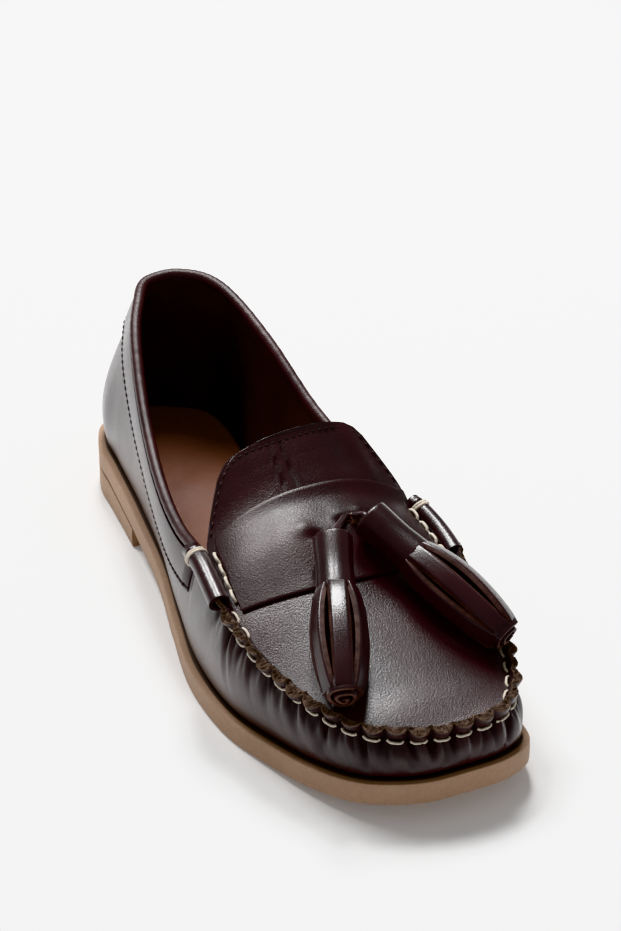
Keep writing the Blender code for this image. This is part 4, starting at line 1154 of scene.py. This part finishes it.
def makeTassel(node, row):
    start, direction = tasselAxis(node, row)
    side = unit(np.cross(direction, upwards))
    up = np.cross(side, direction)
    sleeve, skirt, roll = (tassel[k] / 2 for k in ("sleeve", "skirt", "roll"))
    label = node.replace("tassel_", "")

    def around(distance, radius, angle, flat=0.0):
        # a point of the tassel at a distance down its axis; the underside is flattened by the apron
        height = np.sin(angle) * np.where(np.sin(angle) < 0, 1 - flat, 1)
        return start + direction * distance[..., None] + side * (radius * np.cos(angle))[..., None] \
            + up * (radius * height)[..., None]

    # sleeve: a rolled tube, slightly waisted, whose lower edge turns in
    u, angle = np.meshgrid(np.linspace(0, 1, 40), np.arange(48) * 2 * math.pi / 48, indexing="ij")
    toEnd = np.minimum(u, 1 - u)
    body = sleeve * (0.975 + 0.03 * np.cos(2 * math.pi * u)) - 0.0008 * (1 - quarterRound(toEnd / 0.035))
    lap = 0.0005 * np.clip(((angle - 2.4) % (2 * math.pi)) / (2 * math.pi), 0, 1)
    outer = around(u * tassel["sleeveLength"], body + lap - 0.0003, angle)
    inner = around(u * tassel["sleeveLength"], body * 0.55, angle)
    # painted shade at both ends of the sleeve
    edge = np.clip(1 - toEnd / 0.02, 0, 1) * 0.6
    piece = addWall("sleeve_" + label, outer, inner, True, tasselLeather, edge)
    finishPiece(piece, "oxblood_leather", node)

    # strips: each a slat of constant width that bows out below the sleeve and is gathered at the
    # roll; its face is narrower than its back, so that the cut edges show beside it
    count = tassel["strips"]
    for k in range(count):
        mid = math.pi / 2 + 2 * math.pi * (k + stripPhase[node] + 0.05 * math.sin(5 * k)) / count
        u, w = np.meshgrid(np.linspace(0, 1, 56), np.linspace(-1, 1, 13), indexing="ij")
        swell = np.sin(math.pi * np.clip(0.04 + 0.96 * u, 0, 1) ** 0.9) ** 0.75
        base = tassel["neck"] * (1 - u) + (roll - 0.0004) * u
        radius = base + (skirt - base) * swell * (1 + 0.05 * math.sin(3 * k + 1))
        back = radius - tassel["stripWall"]
        faceAngle = np.minimum(tassel["stripFace"] / 2 / radius, math.pi / count * 0.90)
        splay = (tassel["stripFace"] / 2 + tassel["stripSplay"] * swell) / back
        backAngle = np.minimum(splay, math.pi / count * 0.97)
        drift = mid + 0.06 * math.sin(2 * k) * u
        crown = 0.00015 * (1 - w ** 2) - 0.0003 * np.clip((np.abs(w) - 0.8) / 0.2, 0, 1) ** 2
        flat = (1 - tassel["flatten"]) * np.clip((radius - sleeve) / (skirt - sleeve), 0, 1)
        length = tassel["sleeveLength"] - 0.0025 + u * (tassel["skirtLength"] + 0.0035)
        # points on a plane square to the strip's middle keep its face flat
        outer = around(length, (radius * 0.97 + crown) / np.cos(w * faceAngle), drift + w * faceAngle, flat)
        inner = around(length, back * 0.97 / np.cos(w * backAngle), drift + w * backAngle, flat)
        name = f"strip_{label}_{k + 1}"
        finishPiece(addWall(name, outer, inner, False, [tasselLeather, stripEdge], None, 1, 1),
                    "oxblood_leather")

    # core and rolled end: a spiral of leather seen end on
    u, angle = np.meshgrid(np.linspace(0, 1, 20), np.arange(40) * 2 * math.pi / 40, indexing="ij")
    core = np.interp(u, [0, 0.85, 1], [sleeve * 0.55, sleeve * 0.5, roll * 0.80])
    rings = around(tassel["sleeveLength"] - 0.004 + u * (tassel["skirtLength"] + 0.003), core, angle, 0.1)
    # the core is painted shade all over, dark and dull, as it sits in shadow inside the strips
    finishPiece(addLoft("core_" + label, rings, tasselLeather, np.ones_like(u)), "oxblood_leather")
    u, v = np.meshgrid(np.linspace(0, 1, 240), np.linspace(0, 1, 7), indexing="ij")
    spiral = 2 * math.pi * tassel["rollTurns"] * u + 0.9
    growth = roll - tassel["rollStart"]
    turnThick = growth / tassel["rollTurns"]
    radius = tassel["rollStart"] + growth * u + 0.0003 * np.sin(3 * spiral)
    foot = tassel["sleeveLength"] + tassel["skirtLength"] - 0.003
    distance = foot + v * (tassel["rollLength"] + 0.003) - 0.0016 * u * v
    edge = 0.0003 * np.clip((v - 0.8) / 0.2, 0, 1) ** 2
    outer = around(distance, radius - edge, spiral)
    inner = around(distance, np.maximum(radius - turnThick * 0.72, 0.0003) + edge, spiral)
    piece = addWall("rolled_end_" + label, outer, inner, False, [tasselLeather, rollEdgePaintedLight], None, 0, 1)
    finishPiece(piece, "oxblood_leather")
    return start, direction


tasselEnds = [makeTassel(node, row) for node, row in tasselNodes.items()]
print("tassels made")


# Thong from sleeve to sleeve, through the saddle's hole

thong = {"radius": 0.0013, "samples": 90, "rounds": 14}


def makeThong():
    # straight runs from sleeve to hole to sleeve, rounded by averaging neighbours along the path
    hole = np.array([saddle["hole"][0] * shoeLength, saddle["hole"][1] * shoeWidth, 0.0])
    hole[2] = instepHeight(hole[0], hole[1]) + saddle["wall"] + saddle["gap"]
    (startA, dirA), (startB, dirB) = tasselEnds
    knots = np.array([startA + dirA * 0.004, startA - dirA * 0.002, hole + [0.0, -0.0016, 0.0006],
                      hole + [0.0, 0.0016, 0.0], startB - dirB * 0.002, startB + dirB * 0.004])
    stops = travelledAlong(knots)
    at = np.linspace(0, stops[-1], thong["samples"])
    path = np.stack([np.interp(at, stops, knots[:, k]) for k in range(3)], -1)
    for _ in range(thong["rounds"]):
        path[1:-1] = (path[:-2] + 2 * path[1:-1] + path[2:]) / 4
    piece = addLoft("thong_lace", tubeRings(path, thong["radius"], 12), tasselLeather)
    finishPiece(piece, "oxblood_leather", "thong")


def makeFuzz():
    # loose flesh fibres that the thong has pulled out of the saddle's hole
    count = 90
    along = (saddle["hole"][0] + chance.uniform(-0.004, 0.016, count)) * shoeLength
    across = (saddle["hole"][1] + chance.uniform(-0.01, 0.075, count)) * shoeWidth
    start = onInstep(along, across, saddle["wall"] + saddle["gap"] + 0.0002)
    lean = chance.normal(0, 0.6, (count, 3)) + [0.7, 0.0, 0.9]
    end = start + unit(lean) * chance.uniform(0.0010, 0.0024, (count, 1))
    lifts = unit(chance.normal(0, 1, (count, 3)))
    piece = addStitches("hole_fuzz", start, end, lifts, 0.00022, 0.0004, fuzz, steps=4, sides=4)
    finishPiece(piece, "raw_edge_leather")


makeThong()
makeFuzz()
print("thong made")


# Floor, light and camera

studio = {
    "floor": 0.82, "floorGlow": 0.10, "world": 0.30, "softbox": (0.23, 0.46, 1.03), "softboxPower": 9.5,
    "softboxSides": (0.22, 0.42), "wash": 1.8, "washFrom": (-0.16, 0.60, 1.03), "washAngle": 18,
    "lampsAim": (0.0, 0.0, 0.04),
}
# the photograph's viewpoint in the shoe's own directions, focal length and height of picture in pixels
photo = {
    "from": (1.1482, -0.4900, 0.7891), "forward": (0.3725, 0.7565, -0.5375), "up": (0.2374, 0.4822, 0.8433),
    "focal": 3800, "height": 931, "sensor": 36,
}


def makeStudio():
    mesh = bpy.data.meshes.new("studio_floor")
    mesh.from_pydata([(-4, -4, 0), (4, -4, 0), (4, 6, 0), (-4, 6, 0)], [], [(0, 1, 2, 3)])
    material, _, shader = newMaterial("studio_floor")
    shader.inputs["Base Color"].default_value = (studio["floor"], studio["floor"], studio["floor"], 1)
    shader.inputs["Roughness"].default_value = 0.9
    shader.inputs["Specular IOR Level"].default_value = 0.1
    shader.inputs["Emission Color"].default_value = (1.0, 1.0, 1.0, 1)
    shader.inputs["Emission Strength"].default_value = studio["floorGlow"]
    mesh.materials.append(material)
    floor = bpy.data.objects.new("studio_floor", mesh)
    bpy.context.scene.collection.objects.link(floor)
    world = bpy.data.worlds.new("studio")
    bpy.context.scene.world = world
    world.use_nodes = True
    world.node_tree.nodes["Background"].inputs["Color"].default_value = (1.0, 1.0, 1.0, 1)
    world.node_tree.nodes["Background"].inputs["Strength"].default_value = studio["world"]
    bpy.context.scene.view_settings.view_transform = "Khronos PBR Neutral"
    # one softbox overhead behind the shoe, and an even wash from behind its outer side that keeps the
    # floor white
    softbox = bpy.data.lights.new("top_softbox", "AREA")
    softbox.shape, softbox.energy = "RECTANGLE", studio["softboxPower"]
    softbox.size, softbox.size_y = studio["softboxSides"]
    wash = bpy.data.lights.new("even_wash", "SUN")
    wash.angle, wash.energy = math.radians(studio["washAngle"]), studio["wash"]
    for data, place in ((softbox, studio["softbox"]), (wash, studio["washFrom"])):
        lamp = bpy.data.objects.new(data.name, data)
        lamp.location = place
        aim = mathutils.Vector(studio["lampsAim"]) - lamp.location
        lamp.rotation_euler = aim.to_track_quat("-Z", "Y").to_euler()
        bpy.context.scene.collection.objects.link(lamp)


def makeCamera():
    viewpoint = toFrame(np.array(photo["from"]))
    forward = mathutils.Vector(photo["forward"]).normalized()
    up = mathutils.Vector(photo["up"]).normalized()
    right = forward.cross(up).normalized()
    up = right.cross(forward)
    data = bpy.data.cameras.new("photo_view")
    data.sensor_fit, data.sensor_width, data.sensor_height = "VERTICAL", photo["sensor"], photo["sensor"]
    data.lens = photo["focal"] / photo["height"] * photo["sensor"]
    data.clip_start, data.clip_end = 0.05, 50
    camera = bpy.data.objects.new("photo_view", data)
    turn = mathutils.Matrix((right, up, -forward)).transposed().to_4x4()
    camera.matrix_world = mathutils.Matrix.Translation(mathutils.Vector(viewpoint)) @ turn
    bpy.context.scene.collection.objects.link(camera)
    bpy.context.scene.camera = camera


makeStudio()
makeCamera()
print("studio made")
